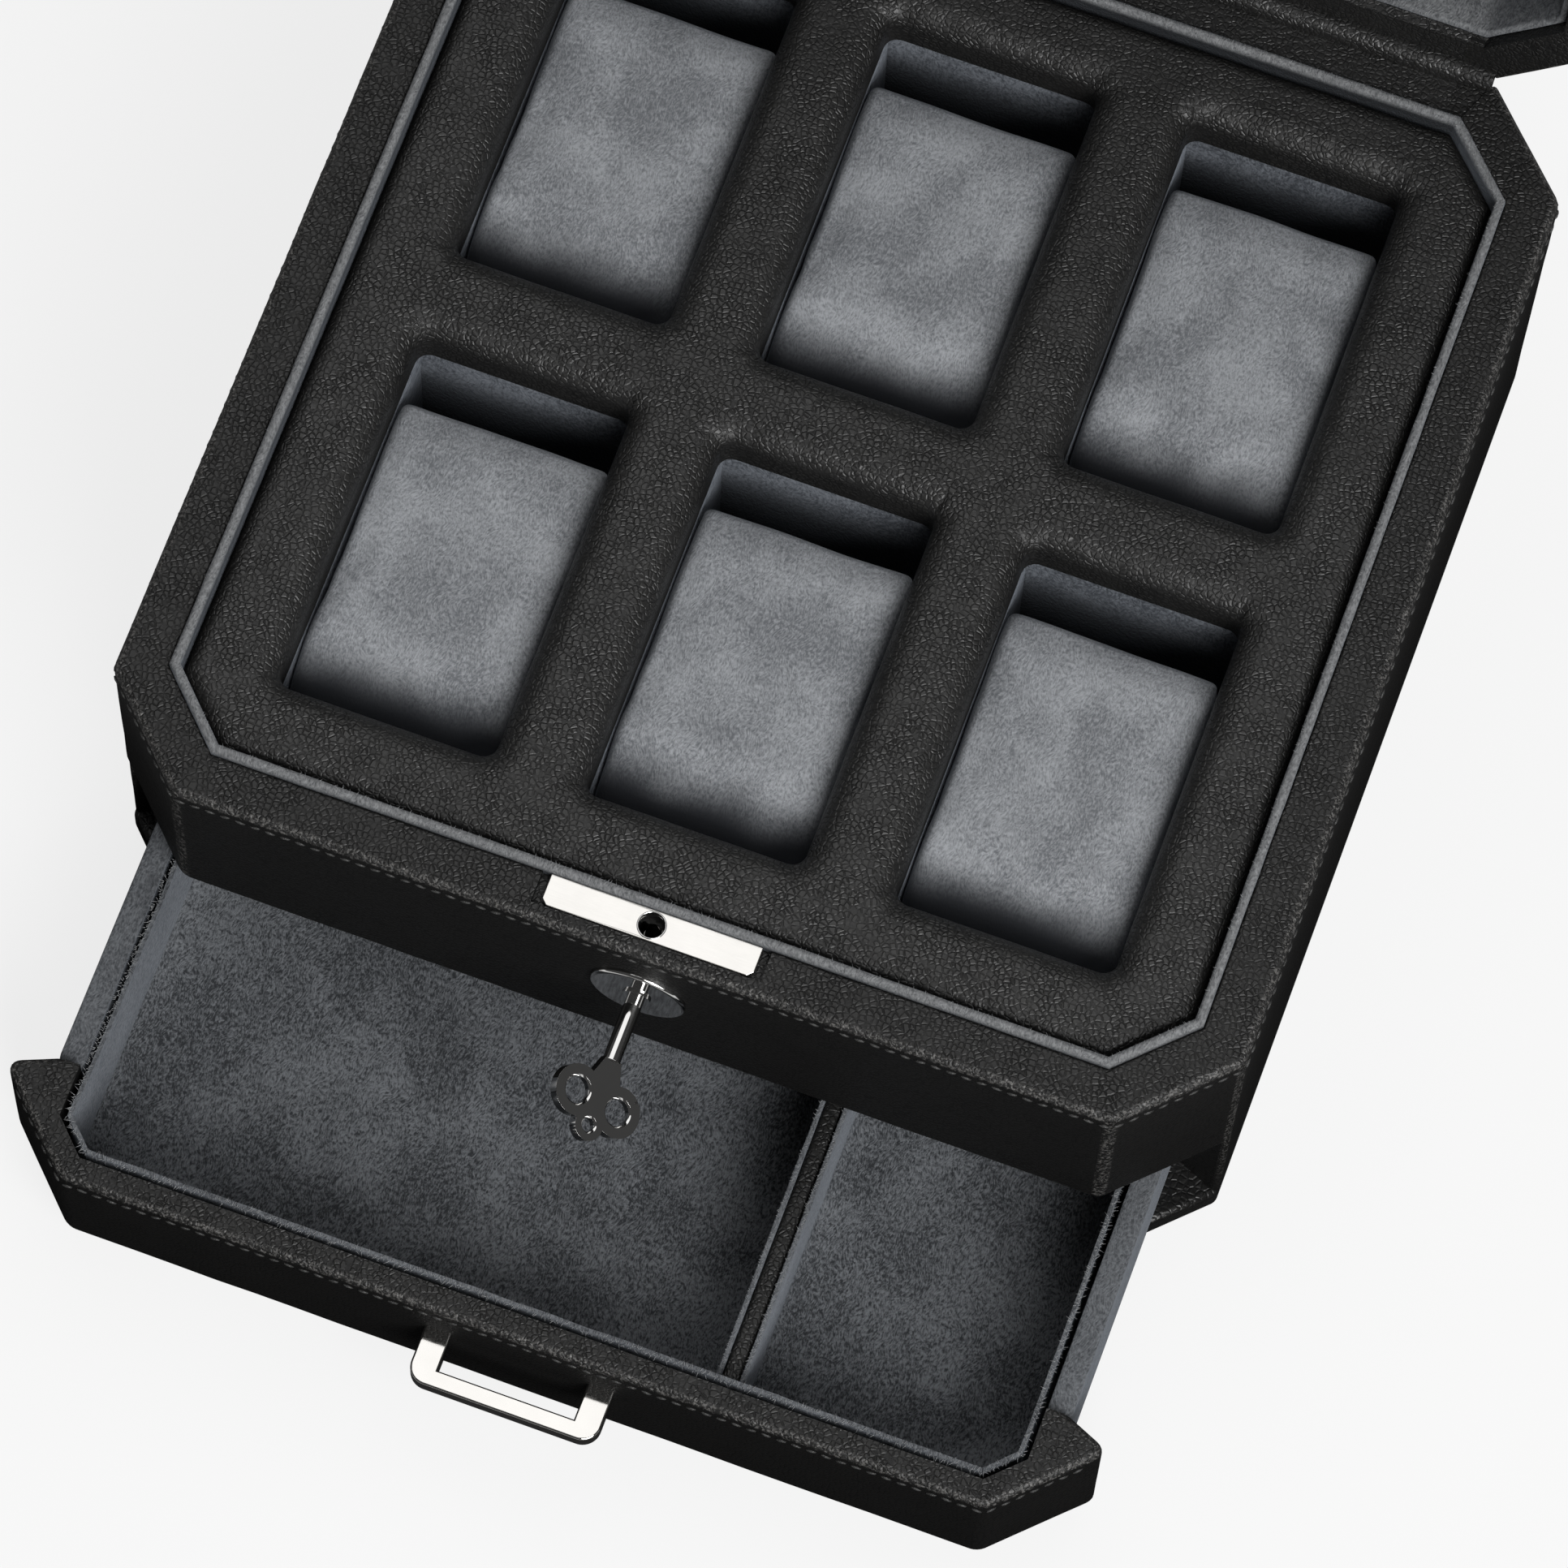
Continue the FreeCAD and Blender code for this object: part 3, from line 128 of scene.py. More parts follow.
class Graph:
    """A material's node tree round one Principled shader."""

    def __init__(self, name: str) -> None:
        """Start an empty material with its shader and output.

        Args:
            name: name of the material.
        """
        self.material = bpy.data.materials.new(name)
        self.material.use_nodes = True
        self.tree = self.material.node_tree
        self.tree.nodes.clear()
        self.shader = self.add("ShaderNodeBsdfPrincipled")
        output = self.add("ShaderNodeOutputMaterial")
        self.tree.links.new(self.shader.outputs[0], output.inputs[0])

    def add(self, kind: str, feeds: Optional[dict] = None, **settings: object) -> Node:
        """Add a node.

        Args:
            kind: Blender's name for the node.
            feeds: input name or number to a constant or to another node's output.
            settings: properties of the node.

        Returns:
            The node.
        """
        node = self.tree.nodes.new(kind)
        for name, value in settings.items():
            setattr(node, name, value)
        for key, value in (feeds or {}).items():
            self.feed(node, key, value)
        return node

    def feed(self, node: Node, key: object, value: object) -> None:
        """Set or link one input.

        Args:
            node: the node that takes the value.
            key: name or number of its input.
            value: a constant or another node's output.
        """
        if isinstance(value, Socket):
            self.tree.links.new(value, node.inputs[key])
        else:
            node.inputs[key].default_value = value

    def place(self) -> Socket:
        """Return the point on the object, in metres."""
        return self.add("ShaderNodeTexCoord").outputs["Object"]

    def grain(self, place: object, size: float, detail: float = 2.0, rough: float = 0.5) -> Socket:
        """Return soft noise whose lumps are about a size in millimetres."""
        feeds = {"Vector": place, "Scale": 1 / (size * MM), "Detail": detail, "Roughness": rough}
        return self.add("ShaderNodeTexNoise", feeds).outputs[0]

    def wander(self, place: object, size: float, reach: float) -> Socket:
        """Return a place pushed about by soft noise.

        Args:
            place: the place.
            size: width of the waves, in millimetres.
            reach: how far the place is pushed, in millimetres.

        Returns:
            The moved place.
        """
        waves = self.add("ShaderNodeTexNoise", {"Vector": place, "Scale": 1 / (size * MM), "Detail": 2.0})
        way = self.vector("SUBTRACT", {0: waves.outputs["Color"], 1: (0.5, 0.5, 0.5)})
        pushed = self.vector("SCALE", {0: way, "Scale": 2 * reach * MM})
        return self.vector("ADD", {0: place, 1: pushed})

    def vector(self, operation: str, feeds: dict) -> Socket:
        """Return the result of a sum on vectors."""
        return self.add("ShaderNodeVectorMath", feeds, operation=operation).outputs[0]

    def spread(self, value: object, low: float, high: float, to_low: float, to_high: float) -> Socket:
        """Return a value carried from one range to another."""
        feeds = {0: value, 1: low, 2: high, 3: to_low, 4: to_high}
        return self.add("ShaderNodeMapRange", feeds).outputs[0]

    def swell(self, value: object, low: float, high: float) -> Socket:
        """Return a value that rises smoothly from 0 to 1 over a range."""
        feeds = {0: value, 1: low, 2: high, 3: 0.0, 4: 1.0}
        return self.add("ShaderNodeMapRange", feeds, interpolation_type="SMOOTHSTEP").outputs[0]

    def sum(self, first: object, share: float, second: object) -> Socket:
        """Return the first value times a share, plus the second."""
        feeds = {0: first, 1: share, 2: second}
        return self.add("ShaderNodeMath", feeds, operation="MULTIPLY_ADD").outputs[0]

    def times(self, first: object, second: object) -> Socket:
        """Return the product of two values."""
        return self.add("ShaderNodeMath", {0: first, 1: second}, operation="MULTIPLY").outputs[0]

    def blend(self, share: object, first: object, second: object) -> Socket:
        """Return a colour between two others."""
        feeds = {0: share, 6: self.paint(first), 7: self.paint(second)}
        return self.add("ShaderNodeMix", feeds, data_type="RGBA").outputs[2]

    @staticmethod
    def paint(colour: object) -> object:
        """Return a colour with its alpha, or an output as it is."""
        return colour if isinstance(colour, Socket) else (*colour, 1.0)

    def bump(self, height: object, depth: float, under: Optional[object] = None) -> Socket:
        """Raise the surface.

        Args:
            height: what raises it.
            depth: how far a height of 1 reaches, in millimetres.
            under: the normal that it starts from, or the surface's own.

        Returns:
            The new normal.
        """
        feeds = {"Height": height, "Distance": depth * MM, "Strength": 1.0}
        if under is not None:
            feeds["Normal"] = under
        return self.add("ShaderNodeBump", feeds).outputs[0]

    def dress(self, **feeds: object) -> Material:
        """Set or link the shader's inputs.

        Args:
            feeds: the inputs, with spaces written as underscores.

        Returns:
            The material.
        """
        for name, value in feeds.items():
            self.feed(self.shader, name.replace("_", " "), value)
        return self.material


@dataclass(frozen=True)
class Leather:
    """Pebbled leather: smooth rounded pebbles, thin dark creases between them and pale edges, partly rubbed
    and partly a painted highlight.
    """

    name: str
    tint: Colour
    crease: Colour
    worn_and_glint: Colour
    cell: float
    depth: float
    smooth: float
    dull: float
    gloss: float = 0.4

    def material(self) -> Material:
        """Return the finish as a material."""
        graph = Graph(self.name)
        place = graph.place()
        bent = graph.wander(place, self.cell * 3.0, self.cell * 0.4)
        feeds = {"Vector": bent, "Scale": 1 / (self.cell * MM), "Randomness": 0.85}
        edge = graph.add("ShaderNodeTexVoronoi", feeds, feature="DISTANCE_TO_EDGE").outputs["Distance"]
        strong = graph.spread(graph.grain(place, self.cell * 5.0), 0.36, 0.64, 0.55, 1.0)
        dip = graph.times(strong, graph.spread(graph.swell(edge, 0.0, 0.24), 0.0, 1.0, 1.0, 0.0))
        pores = graph.grain(place, self.cell * 0.3)
        pull = graph.grain(place, self.cell * 1.8)
        patch = graph.grain(place, self.cell * 9.0)
        furrow = graph.times(strong, graph.spread(edge, 0.0, 0.13, 1.0, 0.0))
        dry = graph.spread(patch, 0.3, 0.7, self.smooth, self.dull)
        # Pale rounded edges: partly rubbed wear, partly a painted highlight where the edges catch the lamps.
        wear_and_glint = graph.add("ShaderNodeAttribute", attribute_name="wear_and_glint").outputs["Fac"]
        specks = graph.grain(place, 0.7, 3.0, 0.7)
        rubbed_and_glint = graph.times(wear_and_glint, graph.spread(specks, 0.5, 0.62, 0.0, 1.0))
        return graph.dress(
            Base_Color=graph.blend(rubbed_and_glint, graph.blend(furrow, self.tint, self.crease), self.worn_and_glint),
            Roughness=graph.sum(furrow, 0.12, dry),
            Specular_IOR_Level=self.gloss,
            Normal=graph.bump(graph.sum(dip, -1.0, graph.sum(pores, 0.15, pull)), self.depth),
        )


@dataclass(frozen=True)
class Suede:
    """Brushed suede: short combed fibres in small tufts, with painted shade low down in a gap and painted
    shade on a pillow's front end.
    """

    name: str
    dark: Colour
    light: Colour
    fibre: float
    depth: float
    contrast: float
    sheen: float = 0.2
    # Heights, in mm, below which painted shade turns the suede near-black, rising to its own colour at the
    # higher one.
    fade: Optional[Point] = None
    brushed: float = 0.0
    # Colour of the painted shade on a pillow's front end, where the pad's edge shades it.
    painted_end_shade: Optional[Colour] = None

    def material(self) -> Material:
        """Return the finish as a material."""
        graph = Graph(self.name)
        place = graph.place()
        flow = graph.wander(place, 9.0, 3.0)
        combed = graph.add("ShaderNodeMapping", {"Vector": flow, "Scale": (1.0, 0.35, 0.35)}).outputs[0]
        hairs = graph.grain(combed, self.fibre, 2.0, 0.6)
        curled = graph.wander(place, self.fibre * 4.0, self.fibre * 1.5)
        tufts = graph.grain(curled, self.fibre * 2.4)
        pile = graph.sum(tufts, 0.6, hairs)
        share = graph.spread(pile, 0.55, 1.05, 0.5 - self.contrast, 0.5 + self.contrast)
        strokes = graph.grain(graph.wander(place, 20.0, 9.0), 17.0)
        share = graph.sum(graph.spread(strokes, 0.35, 0.65, -1.0, 1.0), self.brushed, share)
        colour = graph.blend(share, self.dark, self.light)
        # Painted shade on the pillows' front ends, blended in by a mark each pillow carries: 0 at the front,
        # 1 further back.
        if self.painted_end_shade:
            unshaded_share = graph.add("ShaderNodeAttribute", attribute_name="unshaded_share").outputs["Fac"]
            colour = graph.blend(unshaded_share, self.painted_end_shade, colour)
        # Painted shade: near-black below the low height, fading to the suede's own colour at the high height.
        if self.fade:
            height = graph.add("ShaderNodeSeparateXYZ", {0: place}).outputs["Z"]
            low, high = self.fade
            colour = graph.blend(graph.swell(height, low * MM, high * MM), (0.004, 0.004, 0.004), colour)
        return graph.dress(
            Base_Color=colour,
            Roughness=0.95,
            Specular_IOR_Level=0.1,
            Sheen_Weight=self.sheen,
            Sheen_Roughness=0.45,
            Sheen_Tint=(0.8, 0.88, 1.0, 1.0),
            Normal=graph.bump(pile, self.depth),
        )


@dataclass(frozen=True)
class Metal:
    """Plated metal with faint wiping marks."""

    name: str
    tint: Colour
    smooth: float
    dull: float

    def material(self) -> Material:
        """Return the finish as a material."""
        graph = Graph(self.name)
        place = graph.place()
        stretched = graph.add("ShaderNodeMapping", {"Vector": place, "Scale": (1.0, 14.0, 14.0)}).outputs[0]
        marks = graph.grain(stretched, 4.0, 4.0, 0.7)
        cloud = graph.grain(place, 6.0)
        return graph.dress(
            Base_Color=graph.blend(graph.spread(cloud, 0.3, 0.7, 0.0, 1.0), self.tint,
                                   tuple(0.96 * part for part in self.tint)),
            Metallic=1.0,
            Roughness=graph.spread(marks, 0.3, 0.7, self.smooth, self.dull),
        )


CASE_LEATHER = Leather("case_leather", (0.0095, 0.0093, 0.0089), (0.0015, 0.0015, 0.0015),
                       (0.1, 0.097, 0.093), cell=1.2, depth=0.15, smooth=0.4, dull=0.48, gloss=0.4)
# A darker, duller copy of the case leather for upright faces: painted shade.
SHADED_FRONT_LEATHER = Leather("shaded_front_leather", (0.0062, 0.006, 0.0058), (0.0015, 0.0015, 0.0015),
                        (0.1, 0.097, 0.093), cell=1.2, depth=0.1, smooth=0.55, dull=0.65, gloss=0.16)
PAD_LEATHER = Leather("pad_leather", (0.0145, 0.0142, 0.0137), (0.002, 0.002, 0.002),
                      (0.04, 0.039, 0.037), cell=1.2, depth=0.16, smooth=0.38, dull=0.46, gloss=0.48)
STRIP_LEATHER = Leather("strip_leather", (0.012, 0.0118, 0.0114), (0.0025, 0.0025, 0.0025),
                        (0.04, 0.039, 0.037), cell=1.15, depth=0.13, smooth=0.32, dull=0.4, gloss=0.5)
BASE_LEATHER = Leather("base_leather", (0.008, 0.0078, 0.0075), (0.002, 0.002, 0.002),
                       (0.11, 0.107, 0.102), cell=1.5, depth=0.12, smooth=0.28, dull=0.4, gloss=0.46)
# Black thread given a lighter colour: painted highlight on the stitches.
THREAD_PAINTED_HIGHLIGHT = Leather("thread_painted_highlight", (0.05, 0.05, 0.049), (0.006, 0.006, 0.006),
                 (0.03, 0.03, 0.03), cell=0.5, depth=0.05, smooth=0.4, dull=0.5, gloss=0.4)
PILLOW_SUEDE = Suede("pillow_suede", (0.125, 0.131, 0.141), (0.31, 0.322, 0.338), fibre=0.3, depth=0.12,
                     contrast=0.55, sheen=0.25, brushed=0.24, painted_end_shade=(0.022, 0.0235, 0.027))
# Its fade is painted shade down the inner face of the liner, below the lip.
LIP_SUEDE = Suede("lip_suede", (0.08, 0.082, 0.085), (0.24, 0.245, 0.25), fibre=0.3, depth=0.15,
                  contrast=0.5, fade=(92.0, 94.4))
LINER_SUEDE = Suede("liner_suede", (0.06, 0.062, 0.066), (0.2, 0.206, 0.212), fibre=0.32, depth=0.16,
                    contrast=0.55, brushed=0.15)
# Its fade is painted shade: these boards go near-black below 60 mm and reach their own colour at 80 mm.
POCKET_SUEDE = Suede("pocket_suede", (0.03, 0.033, 0.039), (0.16, 0.172, 0.192), fibre=0.5, depth=0.22,
                     contrast=0.6, fade=(60.0, 80.0), brushed=0.25)
DRAWER_SUEDE = Suede("drawer_suede", (0.032, 0.0342, 0.0375), (0.156, 0.1643, 0.176), fibre=0.3, depth=0.26,
                     contrast=0.75, brushed=0.2)
DRAWER_EDGE_SUEDE = Suede("drawer_edge_suede", (0.05, 0.053, 0.058), (0.15, 0.158, 0.169), fibre=0.32,
                          depth=0.18, contrast=0.55, brushed=0.15)
FIBRE_SUEDE = Suede("fibre_suede", (0.15, 0.153, 0.157), (0.36, 0.365, 0.37), fibre=0.5, depth=0.05,
                    contrast=0.5)
FELT = Suede("felt", (0.008, 0.008, 0.0085), (0.035, 0.035, 0.037), fibre=0.7, depth=0.15, contrast=0.5,
             sheen=0.1)
NICKEL = Metal("nickel", (0.66, 0.645, 0.62), smooth=0.16, dull=0.24)
POLISHED = Metal("polished_nickel", (0.66, 0.645, 0.62), smooth=0.06, dull=0.1)
CHROME = Metal("chrome", (0.6, 0.595, 0.585), smooth=0.04, dull=0.08)
STEEL = Metal("steel", (0.5, 0.5, 0.5), smooth=0.3, dull=0.42)

_MADE: dict[str, Material] = {}


def material_of(finish: object) -> Material:
    """Return a finish's material, made once.

    Args:
        finish: a leather, suede or metal.

    Returns:
        The material.
    """
    if finish.name not in _MADE:
        _MADE[finish.name] = finish.material()
    return _MADE[finish.name]


@dataclass(frozen=True)
class Plan:
    """Sizes of the box that several pieces share, in millimetres."""

    width: float = 242.0
    depth: float = 242.0
    height: float = 93.0
    cut: float = 21.0
    wall: float = 10.6
    base: float = 7.0
    band_low: float = 42.5
    axis_y: float = 121.0
    axis_z: float = 93.15
    lid_angle: float = 98.0
    drawer_out: float = 69.2

    def octagon(self, inset: float = 0.0) -> list[Point]:
        """Return the outline drawn in by a distance, anticlockwise from the right front.

        Args:
            inset: distance from the outer faces.

        Returns:
            Eight points.
        """
        lean = inset * math.tan(math.radians(22.5))
        half_x, half_y = self.width / 2 - inset, self.depth / 2 - inset
        cut_x, cut_y = self.width / 2 - self.cut - lean, self.depth / 2 - self.cut - lean
        return [(half_x, -cut_y), (half_x, cut_y), (cut_x, half_y), (-cut_x, half_y),
                (-half_x, cut_y), (-half_x, -cut_y), (-cut_x, -half_y), (cut_x, -half_y)]

    def opened(self) -> Matrix:
        """Return the move from the closed lid to the lid as it stands open."""
        axis = Matrix.Translation((0, self.axis_y, self.axis_z))
        return axis @ Matrix.Rotation(math.radians(-self.lid_angle), 4, "X") @ axis.inverted()

    def drawn(self) -> Matrix:
        """Return the move from the closed drawer to the drawer as it stands out."""
        return Matrix.Translation((0, -self.drawer_out, 0))


PLAN = Plan()
# How near an outline or a corner a point counts as on it, in millimetres.
ON_LINE = 0.02
# Half the straight part of the front wall.
FRONT_REACH = 95.0
# Half the width of what counts as the middle of the plan.
INSIDE = 60.0
# Where the back wall starts.
BACK_FROM = 110.0
# Length of a cover's faces.
COVER_STEP = 9.0
# How uneven the leather of a cover is.
COVER_WAVE = 0.12
# Width of the waves in a cover.
COVER_WAVE_SIZE = 14.0


class Shape:
    """A mesh in the making, in millimetres."""

    def __init__(self) -> None:
        """Start with nothing."""
        self.bm = bmesh.new()

    def face(self, points: Sequence[Point], level: float) -> Face:
        """Add a flat face.

        Args:
            points: its corners, anticlockwise.
            level: its height.

        Returns:
            The face.
        """
        made = self.bm.faces.new([self.bm.verts.new((x, y, level)) for x, y in points])
        made.normal_update()
        return made

    def lift(self, faces: Iterable[Face], move: Sequence[float], from_solid: bool = False) -> list[Face]:
        """Extrude faces.

        Args:
            faces: the faces.
            move: how far they go.
            from_solid: whether they are part of a solid, so that none may stay behind inside it.

        Returns:
            The moved faces.
        """
        old = list(faces)
        made = bmesh.ops.extrude_face_region(self.bm, geom=old)["geom"]
        bmesh.ops.translate(self.bm, verts=verts_of(made), vec=move)
        if from_solid:
            bmesh.ops.delete(self.bm, geom=[face for face in old if face.is_valid], context="FACES")
        return [item for item in made if isinstance(item, Face)]

    def plate(self, points: Sequence[Point], low: float, high: float) -> list[Face]:
        """Make a flat solid and return its top."""
        return self.lift([self.face(points, low)], (0, 0, high - low))

    def slice(self, axis: Axis, low: float, high: float, step: float) -> None:
        """Cut the mesh across at even steps, so that its faces can bend.

        Args:
            axis: direction of the steps.
            low: where they start.
            high: where they end.
            step: about how long each is.
        """
        count = max(1, round((high - low) / step))
        normal = [0.0, 0.0, 0.0]
        normal[axis.value] = 1.0
        for number in range(1, count):
            self.cut([part * (low + (high - low) * number / count) for part in normal], normal)

    def cut(self, point: Sequence[float], normal: Sequence[float],
            near: Optional[Callable[[Face], bool]] = None) -> None:
        """Cut the faces along a plane.

        Args:
            point: a point of the plane.
            normal: direction across it.
            near: which faces are cut, or all.
        """
        faces = [face for face in self.bm.faces if near is None or near(face)]
        edges = {edge for face in faces for edge in face.edges}
        verts = {vert for face in faces for vert in face.verts}
        bmesh.ops.bisect_plane(self.bm, geom=[*verts, *edges, *faces], plane_co=point, plane_no=normal,
                               dist=0.1 * NEAR)

    def edges(self, test: Callable[[Vector, Vector], bool]) -> list[Edge]:
        """Return the edges whose two ends pass a test."""
        return [edge for edge in self.bm.edges if test(edge.verts[0].co, edge.verts[1].co)]

    def round(self, edges: Sequence[Edge], width: float, segments: int = 5, wear_and_glint: float = 0.0) -> None:
        """Round edges and mark how pale they are: partly wear, partly a painted highlight.

        Args:
            edges: the edges.
            width: radius of the rounding.
            segments: faces across it.
            wear_and_glint: how pale the rounding is, from 0 to 1, as wear and painted highlight.
        """
        made = bmesh.ops.bevel(self.bm, geom=list(edges), offset=width, offset_type="OFFSET", affect="EDGES",
                               segments=segments, profile=0.5, material=-1, clamp_overlap=True)
        # The mark makes the rounding pale: partly edge wear, partly a painted highlight.
        layer = self.bm.verts.layers.float.get("wear_and_glint") or self.bm.verts.layers.float.new("wear_and_glint")
        faces = set(made["faces"])
        for face in faces:
            for vert in face.verts:
                if vert.is_valid and all(other in faces for other in vert.link_faces):
                    vert[layer] = wear_and_glint

    def move(self, place: Callable[[Vector], Vector]) -> None:
        """Move each vertex to where a function puts it."""
        for vert in self.bm.verts:
            vert.co = place(vert.co)

    def ripple(self, amount: float, size: float, seed: float) -> None:
        """Make flat faces gently uneven.

        Args:
            amount: largest move along the normal.
            size: width of the waves.
            seed: which waves.
        """
        self.bm.normal_update()
        shift = Vector((seed, 2 * seed, -seed))
        moves = [vert.normal * (amount * noise.noise(vert.co / size + shift)) for vert in self.bm.verts]
        for vert, step in zip(self.bm.verts, moves):
            vert.co += step

    def turn(self, matrix: Matrix) -> None:
        """Carry the whole mesh by a matrix."""
        bmesh.ops.transform(self.bm, matrix=matrix, verts=self.bm.verts)

    def tidy(self) -> None:
        """Merge doubled points and turn the faces outwards."""
        bmesh.ops.remove_doubles(self.bm, verts=self.bm.verts, dist=0.1 * NEAR)
        bmesh.ops.recalc_face_normals(self.bm, faces=self.bm.faces)

    def sorted_mesh(self, name: str) -> Mesh:
        """Make a mesh whose points and faces stand in the same order in every run.

        A cloth simulation's result depends on that order, which bevels leave to chance.

        Args:
            name: name of the mesh.

        Returns:
            The mesh, in metres.
        """
        spots = {vert: tuple(round(part, SPOT_DIGITS) for part in vert.co) for vert in self.bm.verts}
        order = sorted(set(spots.values()))
        numbers = {spot: number for number, spot in enumerate(order)}
        rings = []
        for face in self.bm.faces:
            ring = [numbers[spots[vert]] for vert in face.verts]
            first = ring.index(min(ring))
            rings.append(ring[first:] + ring[:first])
        mesh = bpy.data.meshes.new(name)
        mesh.from_pydata([Vector(spot) * MM for spot in order], [], sorted(rings))
        self.bm.free()
        return mesh

    def piece(self, name: str, finish: object, slot: Slot, sharp: float = 45.0) -> Piece:
        """Make the object.

        Args:
            name: name of the piece.
            finish: what it is covered with.
            slot: the record's slot for it.
            sharp: angle above which an edge stays sharp.

        Returns:
            The object, at the origin, not yet riding on a body.
        """
        bmesh.ops.scale(self.bm, vec=(MM, MM, MM), verts=self.bm.verts)
        mesh = bpy.data.meshes.new(name)
        self.bm.to_mesh(mesh)
        self.bm.free()
        return link_piece(name, mesh, finish, slot, sharp)


def link_piece(name: str, mesh: Mesh, finish: object, slot: Slot, sharp: float = 180.0) -> Piece:
    """Put a mesh in metres into the scene.

    Args:
        name: name of the piece.
        mesh: its mesh.
        finish: what it is covered with.
        slot: not used.
        sharp: angle above which an edge stays sharp.

    Returns:
        The object.
    """
    mesh.shade_smooth()
    mesh.set_sharp_from_angle(angle=math.radians(sharp))
    mesh.materials.clear()
    mesh.materials.append(material_of(finish))
    piece = bpy.data.objects.new(name, mesh)
    bpy.context.scene.collection.objects.link(piece)
    LOG.info("%s: %d faces", name, len(mesh.polygons))
    return piece


def even_normals(piece: Piece) -> None:
    """Keep flat faces flat beside their rounded edges."""
    piece.modifiers.new("Even", "WEIGHTED_NORMAL").keep_sharp = True


def shade_fronts(piece: Piece, finish: Leather, steep: float = 0.35) -> None:
    """Give the upright faces of a cover a darker, duller copy of its leather with shallower grain: painted
    shade.

    Args:
        piece: the cover.
        finish: the darker copy of the leather for its upright faces, painted shade.
        steep: largest upward part of such a face's normal.
    """
    piece.data.materials.append(material_of(finish))
    for face in piece.data.polygons:
        if abs(face.normal.z) < steep:
            face.material_index = 1


def edge_key(first: Vector, second: Vector) -> tuple[Vector, Vector]:
    """Return the middle and the span of an edge."""
    return (first + second) / 2, second - first


def at_corner(point: Vector, corners: Iterable[Point]) -> bool:
    """Tell whether a point lies over one of some corners, seen from above."""
    return any((point.xy - Vector(corner)).length < ON_LINE for corner in corners)


def on_ring(point: Vector, ring: Sequence[Point]) -> bool:
    """Tell whether a point lies over an outline, seen from above.

    Args:
        point: the point.
        ring: corners of the outline.

    Returns:
        Whether it does.
    """
    for first, second in zip(ring, [*ring[1:], ring[0]]):
        start = Vector(first)
        span = Vector(second) - start
        share = max(0.0, min(1.0, (point.xy - start).dot(span) / span.length_squared))
        if (start + span * share - point.xy).length < ON_LINE:
            return True
    return False


def cut_notch(shape: Shape, half: float, front: float, inner: float, top: float, depth: float) -> None:
    """Cut a shallow seat into a rim, open to the inside.

    Args:
        shape: the wall.
        half: half the seat's length.
        front: the seat's outer edge.
        inner: the wall's inner face.
        top: level of the rim.
        depth: signed depth of the seat, from the rim into the wall.
    """
    def in_front(face: Face) -> bool:
        """Tell whether a face belongs to the front wall."""
        middle = face.calc_center_median()
        return middle.y < inner + 1 and abs(middle.x) < FRONT_REACH

    def in_seat(face: Face) -> bool:
        """Tell whether a face lies where the seat comes.

        Args:
            face: a face of the wall.

        Returns:
            Whether it does.
        """
        middle = face.calc_center_median()
        near_top = abs(middle.z - top) <= abs(depth) + NEAR
        return abs(middle.x) < half and front < middle.y < inner + NEAR and near_top

    def on_rim(vert: Vert) -> bool:
        """Tell whether a vertex lies on the rim, round the seat."""
        x, y, z = vert.co
        return abs(x) < half + NEAR and front - NEAR < y < inner + NEAR and abs(z - top) < NEAR

    for side in (-half, half):
        shape.cut((side, 0, 0), (1, 0, 0), in_front)
    shape.cut((0, front, 0), (0, 1, 0), in_front)
    shape.cut((0, 0, top + depth), (0, 0, 1), in_front)
    gone = [face for face in shape.bm.faces if in_seat(face)]
    bmesh.ops.delete(shape.bm, geom=gone, context="FACES")
    rims = [edge for edge in shape.bm.edges if edge.is_boundary and all(on_rim(vert) for vert in edge.verts)]
    made = bmesh.ops.extrude_edge_only(shape.bm, edges=rims)["geom"]
    bmesh.ops.translate(shape.bm, verts=verts_of(made), vec=(0, 0, depth))
    bmesh.ops.remove_doubles(shape.bm, verts=shape.bm.verts, dist=NEAR)
    open_edges = [edge for edge in shape.bm.edges if edge.is_boundary]
    bmesh.ops.holes_fill(shape.bm, edges=open_edges, sides=12)


def flat_ring(level: float, wall: float) -> Shape:
    """Draw the box's outline as a flat ring round a flat face.

    Args:
        level: height of the ring.
        wall: its width.

    Returns:
        The ring and the face inside it.
    """
    shape = Shape()
    deck = shape.face(PLAN.octagon(), level)
    bmesh.ops.inset_region(shape.bm, faces=[deck], thickness=wall, use_even_offset=True, use_boundary=True)
    return shape


def make_uneven(shape: Shape, low: float, high: float, seed: float) -> None:
    """Divide a cover's faces and make its leather gently uneven.

    Args:
        shape: the cover.
        low: its lowest level.
        high: its highest level.
        seed: which waves.
    """
    half = PLAN.width / 2
    for axis in (Axis.X, Axis.Y):
        shape.slice(axis, -half, half, COVER_STEP)
    shape.slice(Axis.Z, low, high, COVER_STEP)
    shape.tidy()
    shape.ripple(COVER_WAVE, COVER_WAVE_SIZE, seed)


